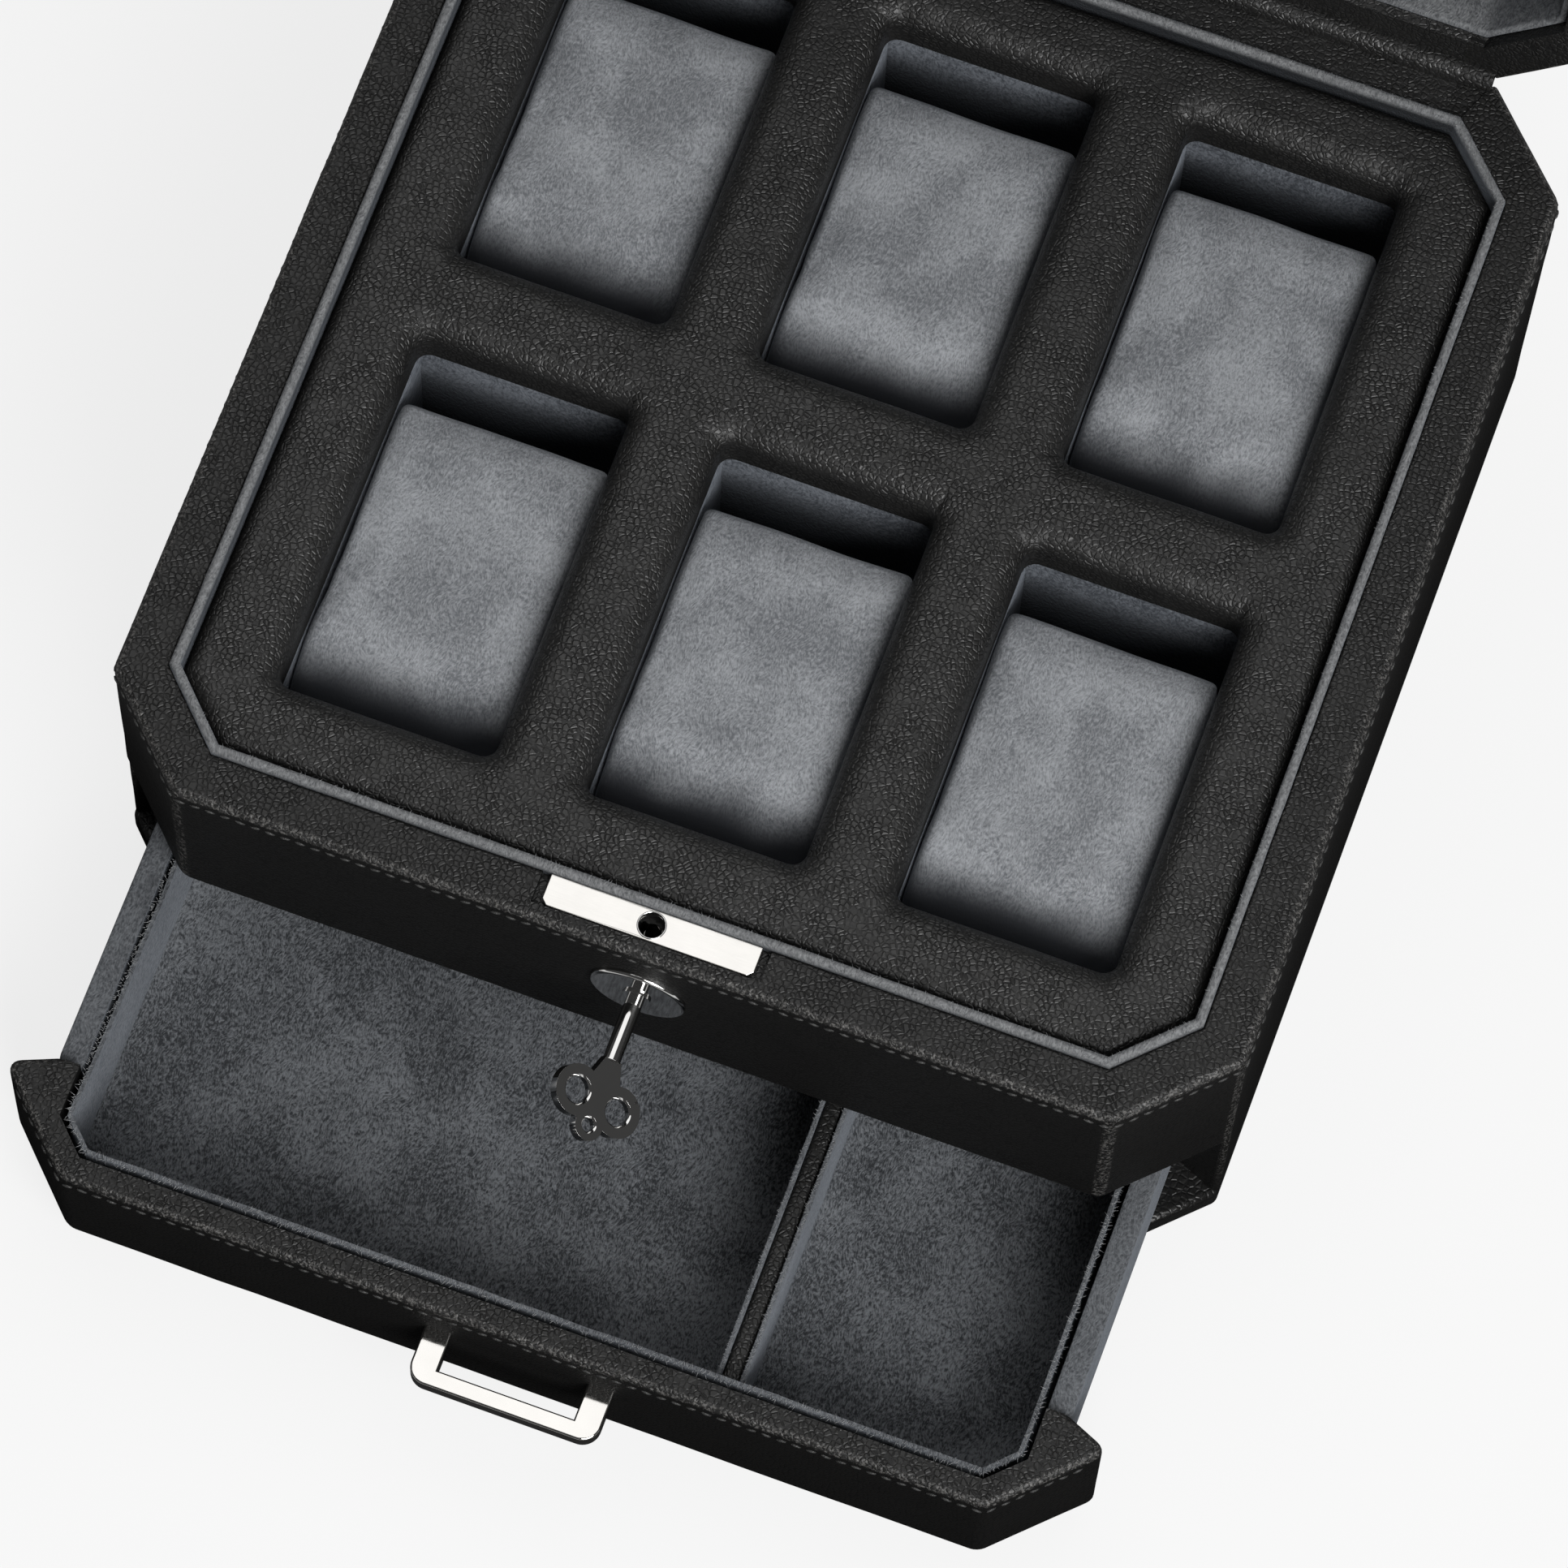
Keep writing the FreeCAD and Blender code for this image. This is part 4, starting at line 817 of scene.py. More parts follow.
@dataclass
class CaseShell:
    """Leather over the case walls: sides and rear corners to the base, the front band above the drawer."""

    edge: float = 1.8
    inner_edge: float = 0.7
    band_half: float = 119.0
    notch_half: float = 24.5
    notch_front: float = -117.5
    notch_depth: float = -1.8
    well_half: float = 2.8
    well_middle: float = -113.8
    well_depth: float = 16.0
    seed: float = 3.1

    def build(self) -> Piece:
        """Return the shell."""
        shape = flat_ring(PLAN.band_low, PLAN.wall)
        spare = [face for face in shape.bm.faces if self.is_open(face.calc_center_median())]
        bmesh.ops.delete(shape.bm, geom=spare, context="FACES")
        shape.lift(list(shape.bm.faces), (0, 0, PLAN.height - PLAN.band_low))
        legs = [face for face in shape.bm.faces if self.is_leg(face)]
        shape.lift(legs, (0, 0, PLAN.base - PLAN.band_low), True)
        shape.tidy()
        inner = PLAN.wall - PLAN.depth / 2
        cut_notch(shape, self.notch_half, self.notch_front, inner, PLAN.height, self.notch_depth)
        shape.tidy()
        self.sink_well(shape)
        self.soften(shape)
        make_uneven(shape, 0, PLAN.height, self.seed)
        return shape.piece("case_cover", CASE_LEATHER, Slot.CASE_LEATHER)

    def sink_well(self, shape: Shape) -> None:
        """Sink a well for the lid's stud into the seat of the lock plate.

        Args:
            shape: the shell.
        """
        level = PLAN.height + self.notch_depth

        def in_seat(face: Face) -> bool:
            """Tell whether a face is the floor of the seat.

            Args:
                face: a face of the shell.

            Returns:
                Whether it is.
            """
            middle = face.calc_center_median()
            level_with = abs(middle.z - level) < 10 * NEAR
            return level_with and middle.y < PLAN.wall - PLAN.depth / 2 and abs(middle.x) < self.notch_half

        for way in (-self.well_half, self.well_half):
            shape.cut((way, 0, 0), (1, 0, 0), in_seat)
            shape.cut((0, self.well_middle + way, 0), (0, 1, 0), in_seat)
        place = [(0.0, self.well_middle)]
        floor = [face for face in shape.bm.faces
                 if in_seat(face) and at_corner(face.calc_center_median(), place)]
        shape.lift(floor, (0, 0, -self.well_depth), True)
        shape.tidy()

    @staticmethod
    def is_open(middle: Vector) -> bool:
        """Tell whether a face of the flat ring is the space inside or the back, which stays a board."""
        return middle.xy.length < INSIDE or (middle.y > BACK_FROM and abs(middle.x) < INSIDE)

    @staticmethod
    def is_leg(face: Face) -> bool:
        """Tell whether a face is the underside of a wall that goes down to the base."""
        middle = face.calc_center_median()
        return abs(middle.z - PLAN.band_low) < NEAR and abs(face.normal.z) > 0.9 and middle.y > -INSIDE

    def soften(self, shape: Shape) -> None:
        """Round the edges that show.

        Args:
            shape: the shell.
        """
        outline, inner = PLAN.octagon(), PLAN.octagon(PLAN.wall)

        def outer_edge(first: Vector, second: Vector) -> bool:
            """Tell whether an edge is an upright corner, the outer rim or the front band's lower edge.

            Args:
                first: one end of the edge.
                second: its other end.

            Returns:
                Whether it is.
            """
            if not (on_ring(first, outline) and on_ring(second, outline)):
                return False
            middle, span = edge_key(first, second)
            if abs(span.z) > NEAR:
                return at_corner(middle, outline) and middle.z > PLAN.base
            at_top = abs(middle.z - PLAN.height) < NEAR and middle.y < PLAN.depth / 2 - 0.1
            at_band = abs(middle.z - PLAN.band_low) < NEAR and middle.y < -FRONT_REACH
            return at_top or (at_band and abs(middle.x) <= self.band_half)

        def inner_edge(first: Vector, second: Vector) -> bool:
            """Tell whether an edge is part of the inner rim."""
            level = abs(first.z - PLAN.height) < NEAR and abs(second.z - PLAN.height) < NEAR
            return level and all(on_ring(point, inner) for point in (first, second, (first + second) / 2))

        shape.round(shape.edges(outer_edge), self.edge, 5, 1.0)
        shape.round(shape.edges(inner_edge), self.inner_edge, 3, 0.4)

    def dress(self) -> None:
        """Build the shell in place of the covered boards."""
        piece = self.build()
        shade_fronts(piece, SHADED_FRONT_LEATHER)
        even_normals(piece)
        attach(piece, Body.CASE.value)
        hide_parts("left_side_board", "right_side_board", "rear_left_corner", "rear_right_corner",
                    "front_fascia", "front_left_corner", "front_right_corner")


@dataclass
class LidShell:
    """Leather over the lid: walls, corners and the top in one skin, standing open."""

    wall: float = 10.2
    low: float = 93.3
    rail: float = 30.0
    board: float = 6.0
    edge: float = 1.8
    seat_half: float = 14.3
    seat_front: float = -117.1
    seat_depth: float = 1.4
    seed: float = 7.7

    def build(self) -> Piece:
        """Return the shell."""
        crown = self.low + self.rail + self.board
        shape = flat_ring(self.low + self.rail, self.wall)
        shape.lift(list(shape.bm.faces), (0, 0, self.board))
        rails = [face for face in shape.bm.faces if self.is_rail(face)]
        shape.lift(rails, (0, 0, -self.rail), True)
        shape.tidy()
        inner = self.wall - PLAN.depth / 2
        cut_notch(shape, self.seat_half, self.seat_front, inner, self.low, self.seat_depth)
        shape.tidy()
        outline = PLAN.octagon()

        def outer_edge(first: Vector, second: Vector) -> bool:
            """Tell whether an edge is an upright corner, the rim or the edge of the top.

            Args:
                first: one end of the edge.
                second: its other end.

            Returns:
                Whether it is.
            """
            middle, span = edge_key(first, second)
            if not all(on_ring(point, outline) for point in (first, second, middle)):
                return False
            if abs(span.z) > NEAR:
                return at_corner(middle, outline)
            at_rim = abs(middle.z - self.low) < NEAR and middle.y < PLAN.depth / 2 - 0.1
            return at_rim or abs(middle.z - crown) < NEAR

        shape.round(shape.edges(outer_edge), self.edge, 5, 0.8)
        make_uneven(shape, self.low, crown, self.seed)
        shape.turn(PLAN.opened())
        return shape.piece("lid_cover", CASE_LEATHER, Slot.CASE_LEATHER)

    def is_rail(self, face: Face) -> bool:
        """Tell whether a face is the root of a wall of the lid.

        Args:
            face: the face.

        Returns:
            Whether it is.
        """
        middle = face.calc_center_median()
        level = abs(middle.z - self.low - self.rail) < NEAR and abs(face.normal.z) > 0.9
        return level and not CaseShell.is_open(middle)

    def dress(self) -> None:
        """Build the shell in place of the covered boards of the lid."""
        piece = self.build()
        even_normals(piece)
        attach(piece, Body.LID.value)
        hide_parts("lid_left_rail", "lid_right_rail", "lid_front_rail", "lid_front_left_corner",
                    "lid_front_right_corner", "lid_rear_left_corner", "lid_rear_right_corner",
                    "lid_top_board")


@dataclass
class DrawerFace:
    """Leather over the drawer front and its wings, in one skin."""

    low: float = 7.4
    high: float = 42.1
    edge: float = 1.7
    tip: float = 3.6
    seed: float = 12.3

    @property
    def outline(self) -> list[Point]:
        """Return the plan of the closed drawer's front, anticlockwise from the right heel."""
        right = [(110.0, -96.86), (104.8, -96.86), (104.8, -108.3), (97.68, -115.4)]
        outer = [(-120.0, -101.0), (-100.0, -121.0), (100.0, -121.0), (120.0, -101.0)]
        return right + [(-x, y) for x, y in reversed(right)] + outer

    @staticmethod
    def shows(edge: Edge) -> bool:
        """Tell whether an edge runs along the outside of the front or round the end of a wing.

        Args:
            edge: the edge.

        Returns:
            Whether it does.
        """
        sides = [face for face in edge.link_faces if abs(face.normal.z) < 0.1]
        if len(sides) != 1 or len(edge.link_faces) != 2:
            return False
        return sides[0].normal.y < -0.1 or abs((edge.verts[0].co.x + edge.verts[1].co.x) / 2) > 110.2

    @staticmethod
    def uprights(shape: Shape, places: Sequence[Point]) -> list[Edge]:
        """Return the upright edges at some corners of the plan."""
        return shape.edges(lambda one, two: abs(two.z - one.z) > 1 and at_corner((one + two) / 2, places))

    def build(self) -> Piece:
        """Return the skin."""
        shape = Shape()
        shape.plate(self.outline, self.low, self.high)
        shape.tidy()
        left_tip, *corners, right_tip = self.outline[-4:]
        shape.round(self.uprights(shape, [left_tip, right_tip]), self.tip, 6, 1.0)
        shape.round(self.uprights(shape, corners), self.edge, 4, 1.0)
        shape.round([edge for edge in shape.bm.edges if self.shows(edge)], self.edge, 5, 1.0)
        shape.slice(Axis.X, -PLAN.width / 2, PLAN.width / 2, COVER_STEP)
        shape.slice(Axis.Z, 0, 5 * COVER_STEP, COVER_STEP)
        shape.tidy()
        shape.ripple(COVER_WAVE, COVER_WAVE_SIZE, self.seed)
        shape.turn(PLAN.drawn())
        return shape.piece("drawer_cover", CASE_LEATHER, Slot.CASE_LEATHER)

    def dress(self) -> None:
        """Build the skin in place of the drawer front and its wings."""
        piece = self.build()
        shade_fronts(piece, SHADED_FRONT_LEATHER)
        even_normals(piece)
        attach(piece, Body.DRAWER.value)
        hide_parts("drawer_front", "drawer_left_wing", "drawer_right_wing")


class Padding:
    """Soft pieces: a closed skin, puffed by a short cloth simulation."""

    @staticmethod
    def applied(piece: Piece) -> Mesh:
        """Apply a piece's modifiers.

        Args:
            piece: the piece.

        Returns:
            A new mesh.
        """
        graph = bpy.context.evaluated_depsgraph_get()
        graph.update()
        return bpy.data.meshes.new_from_object(piece.evaluated_get(graph))

    @staticmethod
    def puff(mesh: Mesh, held: Callable[[Vector], float], pressure: float, cap: float,
             frames: int = 20) -> Mesh:
        """Blow a closed skin up a little.

        Args:
            mesh: the skin, in metres.
            held: how firmly a point is held, from 0 to 1.
            pressure: pressure inside.
            cap: farthest move of a point, in millimetres.
            frames: steps of the simulation.

        Returns:
            The puffed skin, divided once more and smoothed.
        """
        holder = bpy.data.objects.new("puff", mesh)
        bpy.context.scene.collection.objects.link(holder)
        group = holder.vertex_groups.new(name="held")
        for vert in mesh.vertices:
            group.add([vert.index], held(vert.co), "REPLACE")
        cloth = holder.modifiers.new("Puff", "CLOTH")
        cloth.settings.quality = 5
        cloth.settings.use_pressure = True
        cloth.settings.uniform_pressure_force = pressure
        cloth.settings.effector_weights.gravity = 0.0
        cloth.settings.vertex_group_mass = "held"
        cloth.point_cache.frame_start = 1
        cloth.point_cache.frame_end = frames
        for step in range(1, frames + 1):
            bpy.context.scene.frame_set(step)
        blown = Padding.applied(holder)
        largest = 0.0
        for vert, home in zip(blown.vertices, mesh.vertices):
            step = vert.co - home.co
            largest = max(largest, step.length)
            if step.length > cap * MM:
                vert.co = home.co + step * (cap * MM / step.length)
        LOG.info("puffed by up to %.2f mm", largest / MM)
        holder.modifiers.clear()
        holder.data = blown
        bpy.context.scene.frame_set(1)
        divide = holder.modifiers.new("Divide", "SUBSURF")
        divide.levels = divide.render_levels = 1
        result = Padding.applied(holder)
        bpy.data.objects.remove(holder)
        return result


@dataclass
class TrayPad:
    """Padded leather with six windows, gathered where it turns down into the pockets."""

    inset: float = 12.85
    column_pitch: float = 66.3
    row_pitch: float = 101.1
    row_middle: float = 1.2
    window_width: float = 46.7
    window_length: float = 81.5
    low: float = 80.0
    crown: float = 91.6
    roll: Point = (6.0, 5.0)
    edge_roll: Point = (4.0, 3.0)
    step: float = 1.1
    turns: tuple[int, ...] = (0, 12, 24, 36, 48, 62, 76)
    closest: float = 0.45
    gather: float = 0.36
    gather_reach: float = 7.0
    gather_fade: float = 0.45
    corner_fade: float = 6.0
    away_from_back: float = 0.12
    pleat: Place = (2.0, 7.0, 17.0)
    crease: Place = (0.95, 5.0, 31.0)
    crease_share: float = 0.5
    sag: float = 0.3
    sag_size: float = 16.0
    sag_seed: float = 4.2
    least: float = 3.0
    corner: float = 3.0
    corner_reach: float = 9.0

    def centres(self) -> list[Point]:
        """Return the middles of the six windows."""
        return [(column * self.column_pitch, self.row_middle + row * self.row_pitch / 2)
                for row in (-1, 1) for column in (-1, 0, 1)]

    def lines(self, middles: Iterable[float], half: float, reach: float) -> list[float]:
        """Return where the pad is divided across one axis, closer together on the rolls.

        Args:
            middles: middles of the windows on that axis.
            half: half the windows' size.
            reach: half the pad's size.

        Returns:
            The places, in order.
        """
        turns = [self.roll[0] * (1 - math.cos(math.radians(angle))) for angle in self.turns]
        kept = [-reach, reach]
        for middle in middles:
            kept += [middle + way * (half + turn) for way in (-1, 1) for turn in turns]
        count = round(2 * reach / self.step)
        for number in range(1, count):
            place = -reach + 2 * reach * number / count
            if all(abs(place - other) > self.closest * self.step for other in kept):
                kept.append(place)
        return sorted(kept)

    def apart(self, point: Vector) -> tuple[float, float, float, int]:
        """Measure from the nearest window.

        Args:
            point: the point.

        Returns:
            How far the point is from the window, past its side and past its end, and which window it is.
        """
        found = []
        for number, (x, y) in enumerate(self.centres()):
            over_x = abs(point.x - x) - self.window_width / 2
            over_y = abs(point.y - y) - self.window_length / 2
            away = max(over_x, over_y)
            if away > 0:
                away = math.hypot(max(over_x, 0.0), max(over_y, 0.0))
            found.append((away, over_x, over_y, number))
        return min(found)

    @staticmethod
    def drop(away: float, roll: Point) -> float:
        """Return how far a rolled edge has come down at a distance from it."""
        share = max(0.0, 1 - away / roll[0])
        return roll[1] * (1 - math.sqrt(max(0.0, 1 - share * share)))

    def from_liner(self, point: Vector) -> float:
        """Measure from the liner round the pad.

        Args:
            point: the point.

        Returns:
            Its distance from the liner.
        """
        half = PLAN.width / 2 - self.inset
        slope = (PLAN.width - PLAN.cut - abs(point.x) - abs(point.y)) / math.sqrt(2) - self.inset
        return max(0.0, min(half - abs(point.x), half - abs(point.y), slope))

    @staticmethod
    def fold(along: float, away: float, number: int, size: Place) -> float:
        """Return the height of a fold beside a window; its size is a pitch, a length and a seed."""
        return noise.noise(Vector((along / size[0], away / size[1], size[2] * number)))

    def gathered(self, point: Vector) -> float:
        """Gather the leather, most at the back of a window and at its corners.

        Args:
            point: a point of the flat pad.

        Returns:
            How far the leather stands up there.
        """
        away, over_x, over_y, number = self.apart(point)
        if away > self.gather_reach:
            return 0.0
        along = point.x if over_y > over_x else point.y
        corner = math.exp(-max(0.0, -min(over_x, over_y)) / self.corner_fade)
        at_back = over_y > over_x and point.y > self.centres()[number][1]
        share = 1.0 if at_back else self.away_from_back
        fade = math.exp(-max(0.0, away) / (self.gather_fade * self.gather_reach))
        pleat = self.fold(along, away, number, self.pleat)
        crease = self.fold(along, away, number, self.crease)
        return (pleat + self.crease_share * crease) * fade * share * (1 + corner) * self.gather

    def rounded(self, point: Vector) -> Point:
        """Make the windows' square corners round.

        Args:
            point: a point of the flat pad.

        Returns:
            Where it comes to lie, seen from above.
        """
        _, over_x, over_y, number = self.apart(point)
        side, end = over_x + self.corner, over_y + self.corner
        if min(side, end) <= 0:
            return point.x, point.y
        square, true = max(side, end), math.hypot(side, end)
        fade = 1 - ease(square, self.corner, self.corner + self.corner_reach)
        shrink = fade * (1 - square / true)
        x, y = self.centres()[number]
        return (point.x - math.copysign(side * shrink, point.x - x),
                point.y - math.copysign(end * shrink, point.y - y))

    def shaped(self, point: Vector) -> Vector:
        """Roll, gather and sag the pad.

        Args:
            point: a point of the flat pad.

        Returns:
            Where it comes to lie.
        """
        sunk = self.drop(self.apart(point)[0], self.roll) + self.drop(self.from_liner(point), self.edge_roll)
        across = Vector((point.x / self.sag_size, point.y / self.sag_size, self.sag_seed))
        wave = self.sag * noise.noise(across)
        level = self.crown - min(sunk, self.crown - self.low - self.least) + wave + self.gathered(point)
        return Vector((*self.rounded(point), level))

    def build(self) -> Piece:
        """Return the pad."""
        shape = Shape()
        reach = PLAN.width / 2 - self.inset
        across = self.lines({x for x, _ in self.centres()}, self.window_width / 2, reach)
        along = self.lines({y for _, y in self.centres()}, self.window_length / 2, reach)
        bmesh.ops.create_grid(shape.bm, x_segments=len(across) - 1, y_segments=len(along) - 1, size=1.0)
        for vert in shape.bm.verts:
            column, row = ((part + 1) / 2 for part in vert.co.xy)
            x = across[round(column * (len(across) - 1))]
            y = along[round(row * (len(along) - 1))]
            vert.co = (x, y, self.crown)
        for way_x, way_y in ((1, 1), (1, -1), (-1, 1), (-1, -1)):
            normal = Vector((way_x, way_y, 0)).normalized()
            point = normal * ((PLAN.width - PLAN.cut) / math.sqrt(2) - self.inset)
            everything = [*shape.bm.verts, *shape.bm.edges, *shape.bm.faces]
            bmesh.ops.bisect_plane(shape.bm, geom=everything, plane_co=point, plane_no=normal,
                                   dist=0.1 * NEAR, clear_outer=True)
        gone = [face for face in shape.bm.faces if self.apart(face.calc_center_median())[0] < 0]
        bmesh.ops.delete(shape.bm, geom=gone, context="FACES")
        shape.move(self.shaped)
        rims = [edge for edge in shape.bm.edges if edge.is_boundary]
        made = bmesh.ops.extrude_edge_only(shape.bm, edges=rims)["geom"]
        for vert in verts_of(made):
            vert.co.z = self.low
        shape.tidy()
        under = [edge for edge in shape.bm.edges if edge.is_boundary]
        bmesh.ops.triangle_fill(shape.bm, use_beauty=True, use_dissolve=False, edges=under, normal=(0, 0, -1))
        shape.tidy()
        return shape.piece("tray_pad_leather", PAD_LEATHER, Slot.PAD_LEATHER, 75.0)

    def dress(self) -> None:
        """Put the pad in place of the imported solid."""
        piece = self.build()
        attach(piece, Body.CASE.value)
        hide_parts("tray_pad")


@dataclass
class Pillows:
    """Six suede pillows that fill their pockets and roll down at both ends, each a little different."""

    names: tuple[str, ...] = ("front_left", "front_middle", "front_right",
                              "back_left", "back_middle", "back_right")
    half: float = 22.7
    length: float = 70.6
    corner: float = 3.4
    step: float = 2.4
    front_roll: Point = (22.0, 15.0)
    back_roll: Point = (9.0, 6.0)
    sharp: float = 1.0
    glued: float = 1.5
    pressure: float = 4.0
    cap: float = 0.55
    dent: float = 0.3
    dent_size: float = 14.0
    # Painted shade on each pillow's front end, where the pad's edge shades it: full up to 5 mm behind the
    # front, gone by 17 mm.
    painted_end_shade: Point = (5.0, 17.0)
    end_shade_waver: float = 2.0
    waver_size: float = 9.0

    def start(self, low: Vector, high: Vector) -> Mesh:
        """Return a pillow before it is puffed.

        Args:
            low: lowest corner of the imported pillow, in metres.
            high: its highest corner.

        Returns:
            The closed skin, in metres.
        """
        shape = Shape()
        middle, front = (low.x + high.x) / 2 / MM, low.y / MM + self.cap
        left, right, back = middle - self.half, middle + self.half, front + self.length
        bottom, top = low.z / MM, high.z / MM - self.cap
        shape.plate(oblong(left, right, front, back), bottom, top)
        for axis, first, last in ((Axis.X, left, right), (Axis.Y, front, back), (Axis.Z, bottom, top)):
            shape.slice(axis, first, last, self.step)
        shape.tidy()
        sharp = [edge for edge in shape.bm.edges if edge.is_manifold and edge.calc_face_angle() > self.sharp
                 and max(vert.co.z for vert in edge.verts) > bottom + 0.1]
        shape.round(sharp, self.corner, 4)

        def rolled(place: Vector) -> Vector:
            """Roll both ends of the pillow down.

            Args:
                place: a point of the square skin.

            Returns:
                Where it comes to lie.
            """
            ahead = place.y - front
            sunk = TrayPad.drop(ahead, self.front_roll) + TrayPad.drop(self.length - ahead, self.back_roll)
            return Vector((place.x, place.y, bottom + (place.z - bottom) * (1 - sunk / (top - bottom))))

        shape.move(rolled)
        shape.tidy()
        return shape.sorted_mesh("pillow_start")

    def dress(self) -> None:
        """Puff one pillow and set a copy into each pocket."""
        first_low, first_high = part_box("pillow_" + self.names[0])
        floor = first_low.z + self.glued * MM
        mesh = Padding.puff(self.start(first_low, first_high), lambda place: 1.0 if place.z < floor else 0.0,
                            self.pressure, self.cap)
        for number, name in enumerate(self.names):
            low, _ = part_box("pillow_" + name)
            copy = mesh.copy()
            bm = bmesh.new()
            bm.from_mesh(copy)
            bmesh.ops.translate(bm, verts=bm.verts, vec=low - first_low)
            bm.normal_update()
            seed = Vector((5.0 * number, 1.7, 0.0))
            dents = [noise.noise(vert.co / (self.dent_size * MM) + seed) - 0.5 for vert in bm.verts]
            moves = [vert.normal * (self.dent * MM * deep) for vert, deep in zip(bm.verts, dents)]
            # Paint shade on the pillow's front end: the mark is 0 at the front and 1 further back.
            unshaded_share = bm.verts.layers.float.new("unshaded_share")
            for vert, step in zip(bm.verts, moves):
                vert.co += step
                waver = self.end_shade_waver * noise.noise(vert.co / (self.waver_size * MM) + seed)
                vert[unshaded_share] = ease((vert.co.y - low.y) / MM + waver, *self.painted_end_shade)
            bm.to_mesh(copy)
            bm.free()
            piece = link_piece("pillow_%s_suede" % name, copy, PILLOW_SUEDE, Slot.PILLOW_SUEDE)
            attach(piece, "pillow_" + name)
            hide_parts("pillow_" + name)
        bpy.data.meshes.remove(mesh)


@dataclass
class HingeStrip:
    """Leather strip over the hinges, from the case's rim round the knuckles to the lid's liner."""

    name: str = "hinge_strip"
    finish: Leather = STRIP_LEATHER
    nodes: tuple[str, ...] = ("hinge_strip_case", "hinge_strip_lid")
    half: float = 92.5
    thick: float = 0.6
    sink: float = 0.0
    reach: float = 3.215
    case_end: Point = (110.5, 92.86)
    lid_end: Point = (122.68, 103.1)
    liner_end: Point = (124.9, 103.45)
    bend_from: Point = (118.0, 92.8)
    bend_to: Point = (121.7, 96.3)
    from_angle: float = 185.4
    to_angle: float = 76.7
    turns: int = 10
    slices: int = 70

    def path(self) -> list[Point]:
        """Return the strip's outer line from the case to the lid, seen from the side."""
        arc = []
        for number in range(self.turns + 1):
            angle = math.radians(self.from_angle + (self.to_angle - self.from_angle) * number / self.turns)
            arc.append((PLAN.axis_y + self.reach * math.cos(angle),
                        PLAN.axis_z + self.reach * math.sin(angle)))
        first = [self.between(self.case_end, arc[0], share / 4) for share in range(4)]
        last = [self.between(arc[-1], self.lid_end, share / 4) for share in range(1, 5)]
        return [(y + self.sink, z - self.sink) for y, z in first + arc + last + [self.liner_end]]

    @staticmethod
    def between(first: Point, second: Point, share: float) -> Point:
        """Return a point part of the way from one to another."""
        return tuple(one + (two - one) * share for one, two in zip(first, second))

    def length(self) -> float:
        """Return the strip's width from the case to the lid, along its line."""
        return sum(math.dist(*pair) for pair in zip(self.path(), self.path()[1:]))

    def dress(self) -> None:
        """Make the strip."""
        shape = Shape()
        verts = [shape.bm.verts.new((-self.half, y, z)) for y, z in self.path()]
        line = [shape.bm.edges.new(pair) for pair in zip(verts, verts[1:])]
        step = 2 * self.half / self.slices
        for _ in range(self.slices):
            made = bmesh.ops.extrude_edge_only(shape.bm, edges=line)["geom"]
            line = [item for item in made if isinstance(item, Edge)
                    and abs(item.verts[0].co.x - item.verts[1].co.x) < NEAR]
            bmesh.ops.translate(shape.bm, verts=verts_of(made), vec=(step, 0, 0))
        shape.tidy()
        bmesh.ops.solidify(shape.bm, geom=list(shape.bm.faces), thickness=self.thick)
        shape.tidy()
        piece = shape.piece(self.name, self.finish, Slot.STRIP_LEATHER, 60.0)
        start, end = ((0, y * MM, z * MM) for y, z in (self.bend_from, self.bend_to))
        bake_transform(piece)
        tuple(start)
        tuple(end)
        if self.nodes:
            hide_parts(*self.nodes)
        self.length() * MM


def walk(path: Sequence[Vector], pitch: float, closed: bool = False) -> Iterator[tuple[Vector, Vector]]:
    """Go along a line at even steps.

    Args:
        path: corners of the line.
        pitch: length of a step.
        closed: whether the line goes back to its start.

    Returns:
        Each place with the direction of the line there.
    """
    ends = [*path[1:], path[0]] if closed else path[1:]
    for first, second in zip(path, ends):
        span = second - first
        count = max(1, round(span.length / pitch))
        for number in range(count):
            yield first + span * ((number + 0.5) / count), span.normalized()


@dataclass
class Fringe:
    """Loose fibres along a cut edge of suede."""

    pitch: float = 0.34
    short: float = 0.5
    long: float = 1.5
    thick: float = 0.1
    rooted: float = 0.15
    aside: Point = (0.4, 1.0)
    ahead: Point = (-0.6, 0.6)
    rise: Point = (0.05, 0.6)
    scatter: Point = (0.0, 0.4)

    def grow(self, shape: Shape, path: Sequence[Vector], seed: int, closed: bool = False) -> None:
        """Set fibres along a line, leaning to both sides of it.

        Args:
            shape: the mesh that takes them.
            path: corners of the line.
            seed: which random draw.
            closed: whether the line goes back to its start.
        """
        draw = random.Random(seed)
        upright = Vector((0, 0, 1))
        for place, along in walk(path, self.pitch, closed):
            side = along.cross(upright) * draw.choice((-1, 1))
            way = side * draw.uniform(*self.aside) + along * draw.uniform(*self.ahead)
            way += upright * draw.uniform(*self.rise)
            way.normalize()
            length = draw.uniform(self.short, self.long)
            middle = place + side * draw.uniform(*self.scatter) + way * (length / 2 - self.rooted)
            matrix = Matrix.Translation(middle) @ way.to_track_quat("Z", "Y").to_matrix().to_4x4()
            bmesh.ops.create_cone(shape.bm, cap_ends=True, segments=3, radius1=self.thick, radius2=0.0,
                                  depth=length, matrix=matrix)

    def piece(self, shape: Shape, name: str, body: Body) -> Piece:
        """Make the fibres a piece.

        Args:
            shape: the fibres.
            name: name of the piece.
            body: what it rides on.

        Returns:
            The piece.
        """
        fringe = shape.piece(name, FIBRE_SUEDE, Slot.LINER_SUEDE, 60.0)
        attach(fringe, body.value)
        return fringe


